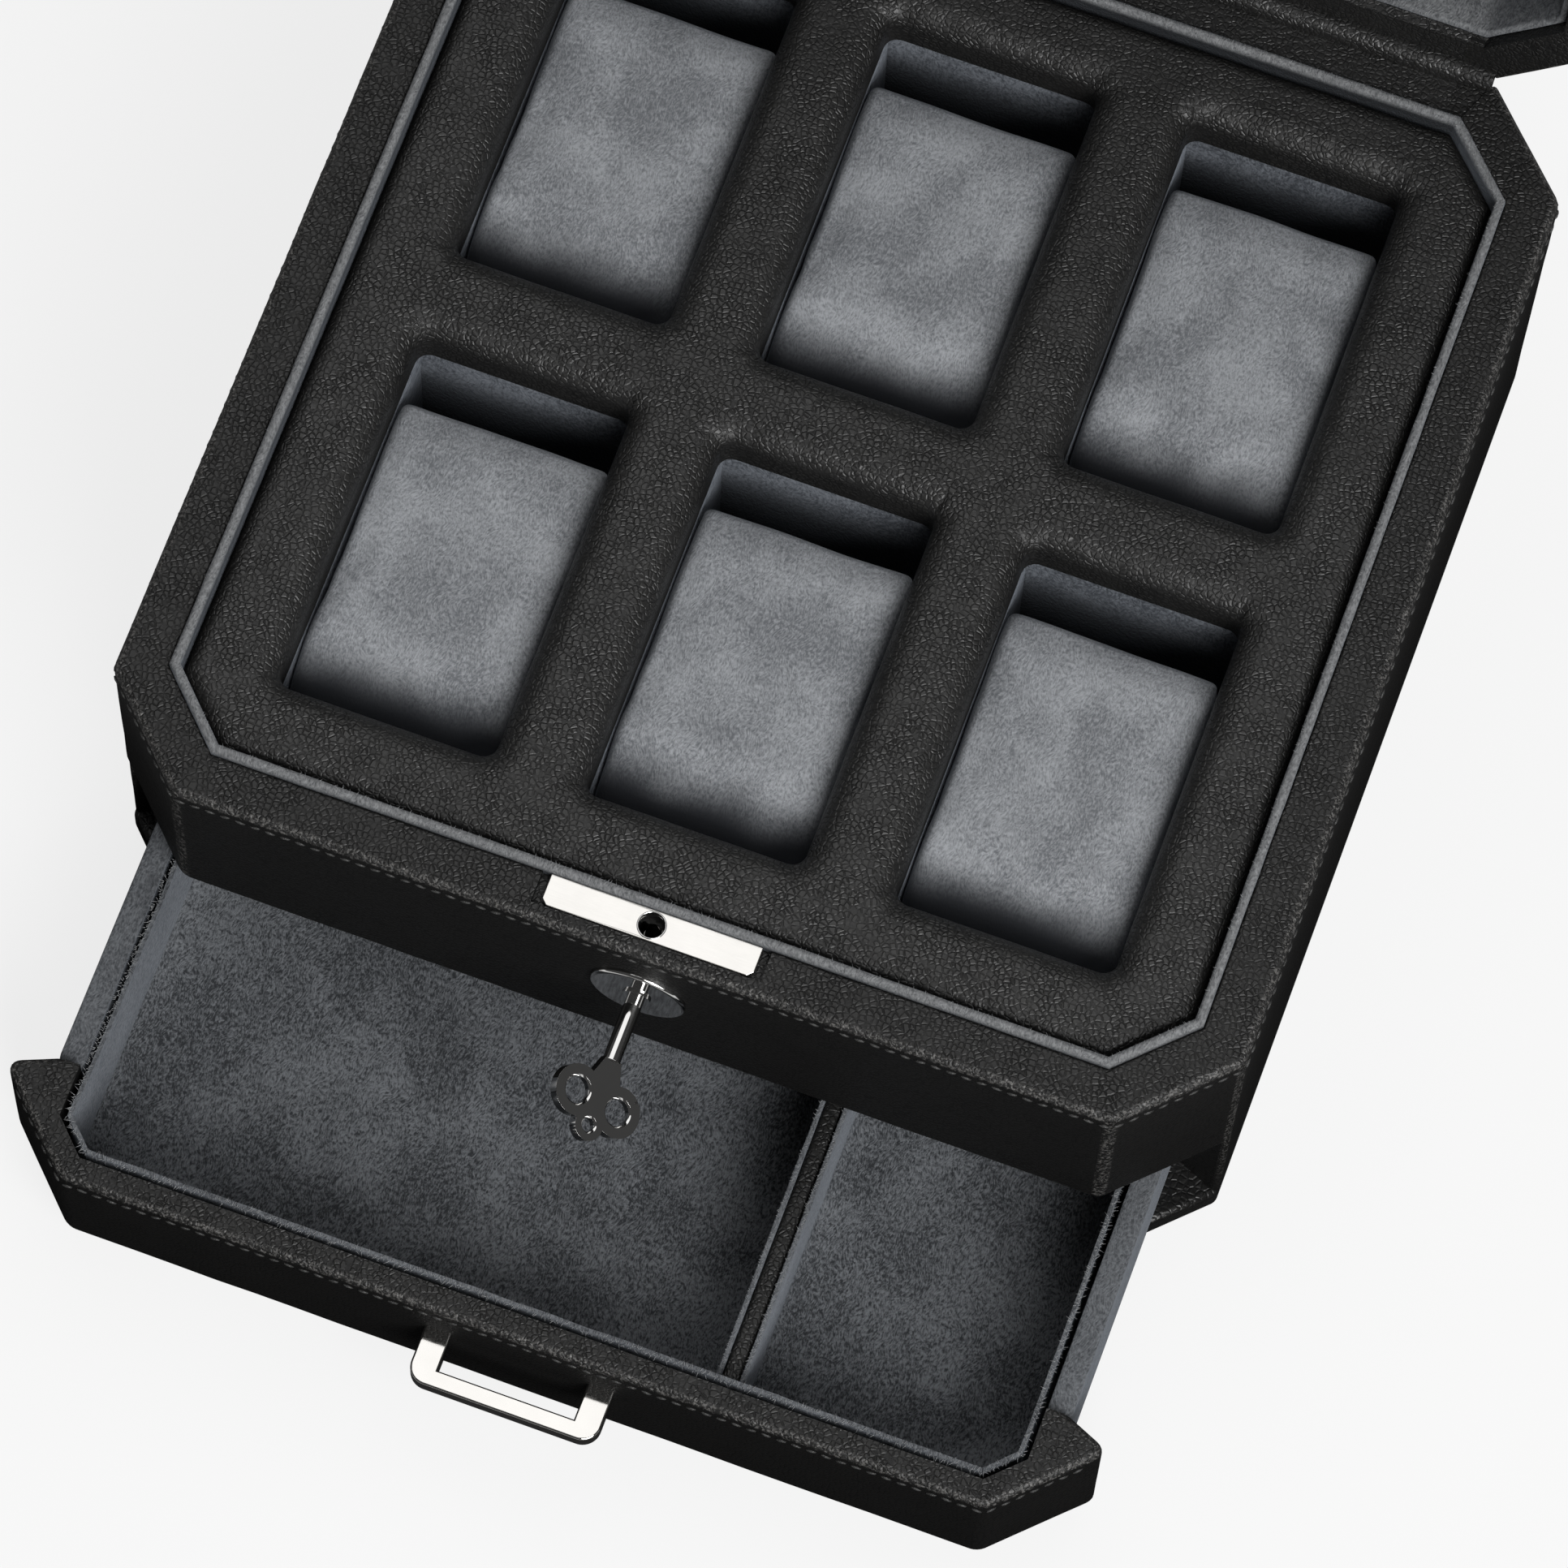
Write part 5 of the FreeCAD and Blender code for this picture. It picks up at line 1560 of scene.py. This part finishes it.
@dataclass
class Seam:
    """A row of small stitches below an edge, wavering a little."""

    pitch: float = 3.2
    size: Place = (1.35, 0.42, 0.36)
    lean: float = 9.0
    stray: float = 5.0
    waver: float = 0.12

    def sew(self, name: str, body: Body, path: Sequence[Vector], matrix: Matrix) -> None:
        """Set the stitches along a line.

        Args:
            name: name of the piece.
            body: what it rides on.
            path: corners of the line, on the leather.
            matrix: carries the stitches to where the leather lies.
        """
        shape = Shape()
        draw = random.Random(len(name))
        for number, (place, along) in enumerate(walk(path, self.pitch)):
            out = along.cross(Vector((0, 0, 1)))
            basis = Matrix((along, out, Vector((0, 0, 1)))).transposed().to_4x4()
            angle = self.lean * (-1) ** number + draw.uniform(-self.stray, self.stray)
            tilt = Matrix.Rotation(math.radians(angle), 4, "Y")
            shift = Matrix.Translation(place + Vector((0, 0, draw.uniform(-self.waver, self.waver))))
            made = bmesh.ops.create_icosphere(shape.bm, subdivisions=1, radius=1.0)["verts"]
            bmesh.ops.scale(shape.bm, vec=self.size, verts=made)
            bmesh.ops.transform(shape.bm, matrix=matrix @ shift @ basis @ tilt, verts=made)
        shape.tidy()
        piece = shape.piece(name, THREAD_PAINTED_HIGHLIGHT, Slot.CASE_LEATHER, 180.0)
        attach(piece, body.value)


class Seams:
    """Stitching round the top of the case, the lid's rim and the top of the drawer front."""

    DROP = 3.4
    WING_START = 0.2

    def dress(self) -> None:
        """Sew the three seams."""
        ring = PLAN.octagon()
        round_front = [Vector((x, y, 0)) for x, y in ring[2:3] + ring[1::-1] + ring[:2:-1]]
        rise = Matrix.Translation((0, 0, PLAN.height - self.DROP))
        Seam().sew("case_seam", Body.CASE, round_front[::-1], rise)
        low = Matrix.Translation((0, 0, LidShell.low + self.DROP))
        Seam().sew("lid_seam", Body.LID, round_front[::-1], PLAN.opened() @ low)
        face = DrawerFace()
        place = Matrix.Translation((0, -PLAN.drawer_out, face.high - self.DROP))
        line = [Vector((x, y, 0)) for x, y in face.outline[-4:]]
        line[0] = line[0].lerp(line[1], self.WING_START)
        line[3] = line[3].lerp(line[2], self.WING_START)
        Seam().sew("drawer_seam", Body.DRAWER, line, place)


@dataclass
class Linings:
    """Suede over the liner rings, the lid's panel and the drawer's floor, and the felt below."""

    step: float = 6.0
    wave: float = 0.12
    wave_size: float = 9.0
    seed: float = 2.4
    steep: float = 60.0
    felt_in: float = 6.0
    lip_in: float = 11.75
    lip_top: float = 94.55
    lip_fibre: float = 1.15

    @staticmethod
    def copy(node: str) -> Shape:
        """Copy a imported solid.

        Args:
            node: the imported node.

        Returns:
            Its shape in whole faces, in millimetres.
        """
        shape = Shape()
        shape.bm.from_mesh(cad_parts[node].data)
        bmesh.ops.scale(shape.bm, vec=(1 / MM,) * 3, verts=shape.bm.verts)
        bmesh.ops.remove_doubles(shape.bm, verts=shape.bm.verts, dist=NEAR)
        bmesh.ops.dissolve_limit(shape.bm, angle_limit=math.radians(1), verts=shape.bm.verts,
                                 edges=shape.bm.edges)
        return shape

    def soften(self, shape: Shape, width: float) -> None:
        """Round a solid's edges, divide its faces and make them uneven.

        Args:
            shape: the solid.
            width: radius of its edges.
        """
        steep = math.radians(self.steep)
        sharp = [edge for edge in shape.bm.edges if edge.is_manifold and edge.calc_face_angle() > steep]
        shape.round(sharp, width, 3)
        low = [min(vert.co[axis.value] for vert in shape.bm.verts) for axis in Axis]
        high = [max(vert.co[axis.value] for vert in shape.bm.verts) for axis in Axis]
        for axis in Axis:
            shape.slice(axis, low[axis.value], high[axis.value], self.step)
        shape.tidy()
        shape.ripple(self.wave, self.wave_size, self.seed)

    def cover(self, node: str, finish: Suede, slot: Slot, body: Body, width: float) -> Piece:
        """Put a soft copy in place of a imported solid.

        Args:
            node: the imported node.
            finish: its suede.
            slot: the record's slot.
            body: what it rides on.
            width: radius of its edges.

        Returns:
            The piece.
        """
        shape = self.copy(node)
        self.soften(shape, width)
        piece = shape.piece(node + "_suede", finish, slot, 50.0)
        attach(piece, body.value)
        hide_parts(node)
        return piece

    def dress(self) -> None:
        """Cover the rings, the panel and the felt, and grow the fibres of the case's lip."""
        self.cover("case_liner", LIP_SUEDE, Slot.LINER_SUEDE, Body.CASE, width=0.95)
        self.cover("lid_liner", LINER_SUEDE, Slot.LINER_SUEDE, Body.LID, width=0.7)
        panel = self.cover("lid_lining", LINER_SUEDE, Slot.LINER_SUEDE, Body.LID, width=0.5)
        felt = self.cover("base_felt", FELT, Slot.FELT, Body.CASE, width=0.3)
        shape = Shape()
        lip = [Vector((x, y, self.lip_top)) for x, y in PLAN.octagon(self.lip_in)]
        Fringe(long=self.lip_fibre).grow(shape, lip, 5, closed=True)
        Fringe().piece(shape, "case_lip_fibres", Body.CASE)


@dataclass
class DrawerLining:
    """Suede inside the drawer: a thin standing liner, floors that curve up to it and a divider."""

    side_in: float = 104.8
    front_in: float = -115.4
    back_in: float = 89.2
    floor: float = 10.5
    top: float = 41.5
    side_top: float = 38.9
    middle: float = 1.45
    thick: float = 0.9
    corner_in: float = 5.6
    half_length: float = 105.0
    step: float = 4.0
    step_down: Point = (-106.0, -92.0)
    front_part: float = -100.0
    wave: Place = (0.18, 8.0, 6.1)
    curve: float = 5.0
    floor_step: float = 2.4
    floor_edge: float = 0.2
    floor_wave: Point = (0.22, 11.0)
    floor_in: float = 2.0
    divider_place: float = 42.2
    divider_half: float = 3.0
    divider_top: float = 37.1
    divider_sheet: float = 1.0
    divider_in: float = 2.0
    core_drop: float = 0.9
    core_edge: float = 1.2
    core_step: float = 3.0
    core_wave: Place = (0.12, 5.0, 9.4)

    def outline(self, inset: float) -> list[Point]:
        """Draw the inside of the drawer, from the right rear to the left rear.

        Args:
            inset: distance from the walls.

        Returns:
            The line's corners.
        """
        side, front = self.side_in - inset, self.front_in + inset
        line = PLAN.width - PLAN.cut - (self.corner_in + inset) * math.sqrt(2)
        right = [(side, self.back_in), (side, side - line), (line + front, front)]
        return right + [(-x, y) for x, y in reversed(right)]

    def stand(self) -> None:
        """Make the standing liner, lower along the sides than at the front, with fibres on its edge."""
        shape = Shape()
        points = self.outline(self.middle)
        verts = [shape.bm.verts.new((x, y, self.floor)) for x, y in points]
        line = [shape.bm.edges.new(pair) for pair in zip(verts, verts[1:])]
        made = bmesh.ops.extrude_edge_only(shape.bm, edges=line)["geom"]
        for vert in verts_of(made):
            vert.co.z = self.top
        shape.slice(Axis.X, -self.half_length, self.half_length, self.step)
        shape.slice(Axis.Y, self.front_in, self.back_in, self.step)
        shape.slice(Axis.Z, self.floor, self.top, self.step)
        for vert in shape.bm.verts:
            fall = (self.top - self.side_top) * ease(vert.co.y, *self.step_down)
            vert.co.z -= fall * (vert.co.z - self.floor) / (self.top - self.floor)
        shape.tidy()
        shape.ripple(*self.wave)
        bmesh.ops.solidify(shape.bm, geom=list(shape.bm.faces), thickness=self.thick)
        shape.tidy()
        shape.turn(PLAN.drawn())
        piece = shape.piece("drawer_liner_suede", DRAWER_EDGE_SUEDE, Slot.LINER_SUEDE, 60.0)
        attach(piece, Body.DRAWER.value)
        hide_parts("drawer_liner")
        length = sum(math.dist(*pair) for pair in zip(points, points[1:]))
        fringe = Shape()
        tops = [Vector((x, y, self.top if y < self.front_part else self.side_top)) for x, y in points]
        Fringe().grow(fringe, tops, 11)
        fringe.turn(PLAN.drawn())
        fibres = Fringe().piece(fringe, "drawer_liner_fibres", Body.DRAWER)

    def walls(self, point: Vector) -> float:
        """Measure from the nearest wall round a part of the floor.

        Args:
            point: a point of the floor.

        Returns:
            Its distance from that wall.
        """
        lined = self.middle + self.thick / 2
        side = self.side_in - lined
        front = self.front_in + lined
        slope = (PLAN.width - PLAN.cut - abs(point.x) + point.y) / math.sqrt(2) - self.corner_in - lined
        beside = abs(point.x - self.divider_place) - self.divider_half
        return max(0.0, min(side - abs(point.x), point.y - front, self.back_in - point.y, slope, beside))

    def lay_floor(self) -> None:
        """Lay the two suede floors, curving up along the walls."""
        soft = Linings(step=self.floor_step, wave=0.0)
        wave, wave_size = self.floor_wave
        shape = soft.copy("drawer_floor")
        shape.turn(PLAN.drawn().inverted())
        soft.soften(shape, self.floor_edge)
        for vert in shape.bm.verts:
            away = max(0.0, self.curve - self.walls(vert.co))
            vert.co.z += self.curve - math.sqrt(self.curve ** 2 - away ** 2)
            vert.co.z += wave * noise.noise(vert.co / wave_size)
        shape.turn(PLAN.drawn())
        piece = shape.piece("drawer_floor_suede", DRAWER_SUEDE, Slot.DRAWER_SUEDE, 70.0)
        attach(piece, Body.DRAWER.value)
        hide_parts("drawer_floor")

    def divide(self) -> None:
        """Make the divider: a leather-topped core between two suede sheets with fuzzy edges."""
        front, back = self.front_in + self.divider_in, self.back_in
        core = Shape()
        half = self.divider_half - self.divider_sheet
        x, high = self.divider_place, self.divider_top - self.core_drop
        core.plate(oblong(x - half, x + half, front, back), self.floor, high)
        core.tidy()
        ridges = core.edges(lambda one, two: min(one.z, two.z) > high - NEAR and abs(one.x - two.x) < NEAR)
        core.round(ridges, self.core_edge, 5, 0.3)
        core.slice(Axis.Y, front, back, self.core_step)
        core.ripple(*self.core_wave)
        core.turn(PLAN.drawn())
        piece = core.piece("drawer_divider_leather", CASE_LEATHER, Slot.CASE_LEATHER)
        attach(piece, Body.DRAWER.value)
        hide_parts("drawer_divider")
        for side, way in (("left", -1), ("right", 1)):
            sheet = Shape()
            near, far = sorted((x + way * half, x + way * self.divider_half))
            sheet.plate(oblong(near, far, front, back), self.floor, self.divider_top)
            sheet.tidy()
            Linings(step=self.core_step).soften(sheet, 0.3)
            sheet.turn(PLAN.drawn())
            piece = sheet.piece("divider_%s_suede" % side, DRAWER_EDGE_SUEDE, Slot.DRAWER_SUEDE, 50.0)
            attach(piece, Body.DRAWER.value)
            fringe = Shape()
            edge = x + way * (half + self.divider_sheet / 2)
            line = [Vector((edge, y, self.divider_top)) for y in (front, back)]
            Fringe(short=0.3, long=0.9).grow(fringe, line, 20 + way)
            fringe.turn(PLAN.drawn())
            fibres = Fringe().piece(fringe, "divider_%s_fibres" % side, Body.DRAWER)

    def dress(self) -> None:
        """Line the drawer."""
        self.stand()
        self.lay_floor()
        self.divide()


@dataclass
class StudRing:
    """Bright ring set round the hole in the lock plate."""

    place: Place = (0.0, -113.8, 92.98)
    radius: float = 2.85
    tube: float = 0.2

    def dress(self) -> None:
        """Spin the ring and set it on the plate."""
        shape = Shape()
        made = bmesh.ops.create_circle(shape.bm, segments=10, radius=self.tube)["verts"]
        turn = Matrix.Translation((self.radius, 0, 0)) @ Matrix.Rotation(math.pi / 2, 4, "X")
        bmesh.ops.transform(shape.bm, matrix=turn, verts=made)
        bmesh.ops.spin(shape.bm, geom=list(shape.bm.edges), cent=(0, 0, 0), axis=(0, 0, 1),
                       angle=2 * math.pi, steps=40, use_merge=True)
        shape.tidy()
        shape.turn(Matrix.Translation(self.place))
        piece = shape.piece("lock_plate_ring", CHROME, Slot.CHROME, 180.0)
        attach(piece, Body.CASE.value)


class Boards:
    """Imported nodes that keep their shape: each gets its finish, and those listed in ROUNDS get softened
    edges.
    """

    FINISHES = {
        BASE_LEATHER: ("base_board", "back_board", "lid_back_rail"),
        POCKET_SUEDE: ("tray_cross_bars", "tray_long_bars", "shelf_board"),
        DRAWER_EDGE_SUEDE: ("drawer_left_side", "drawer_right_side", "drawer_back"),
        DRAWER_SUEDE: ("drawer_bottom",),
        NICKEL: ("lock_plate", "catch_plate"),
        POLISHED: ("drawer_pull",),
        CHROME: ("escutcheon", "lock_plug", "key", "catch_stud", "lock_bolt"),
        STEEL: ("hinge_case_leaves", "hinge_lid_leaves", "hinge_pins", "lock_case", "lock_screws",
                "pull_screws"),
    }
    ROUNDS = {
        "drawer_left_side": 1.6, "drawer_right_side": 1.6, "drawer_back": 1.6, "lock_plate": 0.2, "key": 0.45,
        "catch_plate": 0.3, "base_board": 1.4, "back_board": 0.5, "lid_back_rail": 0.5, "lock_plug": 0.2,
    }

    WELD = 0.01
    SEGMENTS = 4
    SHARP = 40.0

    def dress(self) -> None:
        """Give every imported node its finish, and round the edges of those that show."""
        for finish, nodes in self.FINISHES.items():
            for node in nodes:
                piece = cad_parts[node]
                piece.data.materials.clear()
                piece.data.materials.append(material_of(finish))
                if node in self.ROUNDS:
                    self.soften(piece, self.ROUNDS[node])
                LOG.info("%s: %s", node, finish.name)

    def soften(self, piece: Piece, width: float) -> None:
        """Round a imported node's sharp edges.

        Args:
            piece: the node's object.
            width: radius in millimetres.
        """
        weld = piece.modifiers.new("Weld", "WELD")
        weld.merge_threshold = self.WELD * MM
        bevel = piece.modifiers.new("Round", "BEVEL")
        bevel.width = width * MM
        bevel.segments = self.SEGMENTS
        bevel.limit_method = "ANGLE"
        bevel.angle_limit = math.radians(self.SHARP)
        bevel.use_clamp_overlap = True
        even_normals(piece)


@dataclass
class Studio:
    """Camera, light and floor."""

    eye: Place = (0.188416, -0.657631, 1.746333)
    right: Place = (0.93958, 0.34166, 0.02128)
    up: Place = (-0.32776, 0.87996, 0.34387)
    look: Place = (-0.09876, 0.33007, -0.93878)
    lens: float = 201.18
    sensor: float = 36.0
    sees_to: float = 50.0
    key_from: Place = (0.48, -0.57, 0.67)
    key_away: float = 2.2
    key_size: float = 1.3
    key_power: float = 52.0
    panel_from: Place = (-0.1, 0.34, 0.94)
    panel_away: float = 2.2
    panel_size: float = 1.9
    panel_power: float = 16.5
    fill: float = 0.07
    floor_half: float = 8.0
    floor_drop: float = 0.0001
    floor_glow: float = 0.8
    floor_tone: float = 0.13
    floor_bounce: float = 0.03
    # Ray lengths, in metres, over which the floor seen in reflections goes from dark grey to pale: painted
    # shadow near the object.
    near_floor: float = 0.08
    far_floor: float = 0.5

    def dress(self) -> None:
        """Set up the camera, the lamps, the world and the floor."""
        scene = bpy.context.scene
        scene.view_settings.view_transform = "Standard"
        self.add_camera(scene)
        self.add_lamp("key", self.key_from, self.key_away, self.key_size, self.key_power)
        self.add_lamp("panel", self.panel_from, self.panel_away, self.panel_size, self.panel_power)
        world = bpy.data.worlds.new("studio")
        world.use_nodes = True
        world.node_tree.nodes["Background"].inputs["Color"].default_value = (1.0, 1.0, 1.0, 1.0)
        world.node_tree.nodes["Background"].inputs["Strength"].default_value = self.fill
        scene.world = world
        self.add_floor(scene)

    def add_camera(self, scene: bpy.types.Scene) -> None:
        """Stand the camera where the photograph was taken from.

        Args:
            scene: the scene that it is for.
        """
        camera = bpy.data.objects.new("camera", bpy.data.cameras.new("camera"))
        camera.data.sensor_width = self.sensor
        camera.data.lens = self.lens
        camera.data.clip_end = self.sees_to
        back = -Vector(self.look)
        turn = Matrix((self.right, self.up, back)).transposed().to_4x4()
        camera.matrix_world = Matrix.Translation(self.eye) @ turn
        scene.collection.objects.link(camera)
        scene.camera = camera

    @staticmethod
    def add_lamp(name: str, toward: Sequence[float], away: float, size: float, power: float) -> None:
        """Hang a soft square lamp that faces the box.

        Args:
            name: name of the lamp.
            toward: direction from the box to the lamp.
            away: distance from the box.
            size: side of the lamp.
            power: its power in watts.
        """
        lamp = bpy.data.objects.new(name, bpy.data.lights.new(name, "AREA"))
        lamp.data.shape = "SQUARE"
        lamp.data.size = size
        lamp.data.energy = power
        way = Vector(toward).normalized()
        lamp.matrix_world = Matrix.Translation(way * away) @ way.to_track_quat("Z", "Y").to_matrix().to_4x4()
        bpy.context.scene.collection.objects.link(lamp)

    def add_floor(self, scene: bpy.types.Scene) -> None:
        """Lay a pale floor that looks white to the camera and bounces little light.

        Args:
            scene: the scene that it is for.
        """
        bm = bmesh.new()
        bmesh.ops.create_grid(bm, x_segments=2, y_segments=2, size=self.floor_half)
        bmesh.ops.translate(bm, verts=bm.verts, vec=(0, 0, -self.floor_drop))
        mesh = bpy.data.meshes.new("floor")
        bm.to_mesh(mesh)
        bm.free()
        floor = bpy.data.objects.new("floor", mesh)
        scene.collection.objects.link(floor)
        mesh.materials.append(self.floor_material())

    def floor_material(self) -> Material:
        """Return the floor's finish."""
        graph = Graph("floor")
        nodes = graph.tree.nodes
        path = graph.add("ShaderNodeLightPath")
        ray = path.outputs
        mirrored = graph.add("ShaderNodeMath", {0: ray["Is Glossy Ray"], 1: ray["Is Transmission Ray"]},
                             operation="MAXIMUM").outputs[0]
        # Painted shadow in reflections: mirror rays that meet the floor close by see the dark grey floor, as
        # if the object shaded it.
        away = graph.spread(ray["Ray Length"], self.near_floor, self.far_floor, 0.0, 1.0)
        seen = graph.add("ShaderNodeMath", {0: ray["Is Camera Ray"], 1: graph.times(mirrored, away)},
                         operation="MAXIMUM")
        pale = graph.add("ShaderNodeBsdfDiffuse", {"Color": (*(self.floor_tone,) * 3, 1.0)})
        glow = graph.add("ShaderNodeEmission", {"Color": (1.0, 1.0, 1.0, 1.0), "Strength": self.floor_glow})
        shown = graph.add("ShaderNodeAddShader", {0: pale.outputs[0], 1: glow.outputs[0]})
        grey = graph.add("ShaderNodeBsdfDiffuse", {"Color": (*(self.floor_bounce,) * 3, 1.0)})
        mixed = graph.add("ShaderNodeMixShader",
                          {0: seen.outputs[0], 1: grey.outputs[0], 2: shown.outputs[0]})
        output = next(node for node in nodes if node.type == "OUTPUT_MATERIAL")
        graph.tree.links.new(mixed.outputs[0], output.inputs[0])
        nodes.remove(graph.shader)
        return graph.material


def main() -> None:
    """Dress the box, then set up the studio."""
    logging.basicConfig(level=logging.INFO, format="%(message)s")
    gusset = HingeStrip("hinge_gusset", CASE_LEATHER, (), half=99.6, sink=0.35)
    for part in (Boards(), CaseShell(), LidShell(), DrawerFace(), Seams(), Linings(), DrawerLining(),
                 TrayPad(), Pillows(), HingeStrip(), gusset, StudRing(), Studio()):
        part.dress()
        LOG.info("%s done", type(part).__name__)


if __name__ == "__main__":
    main()
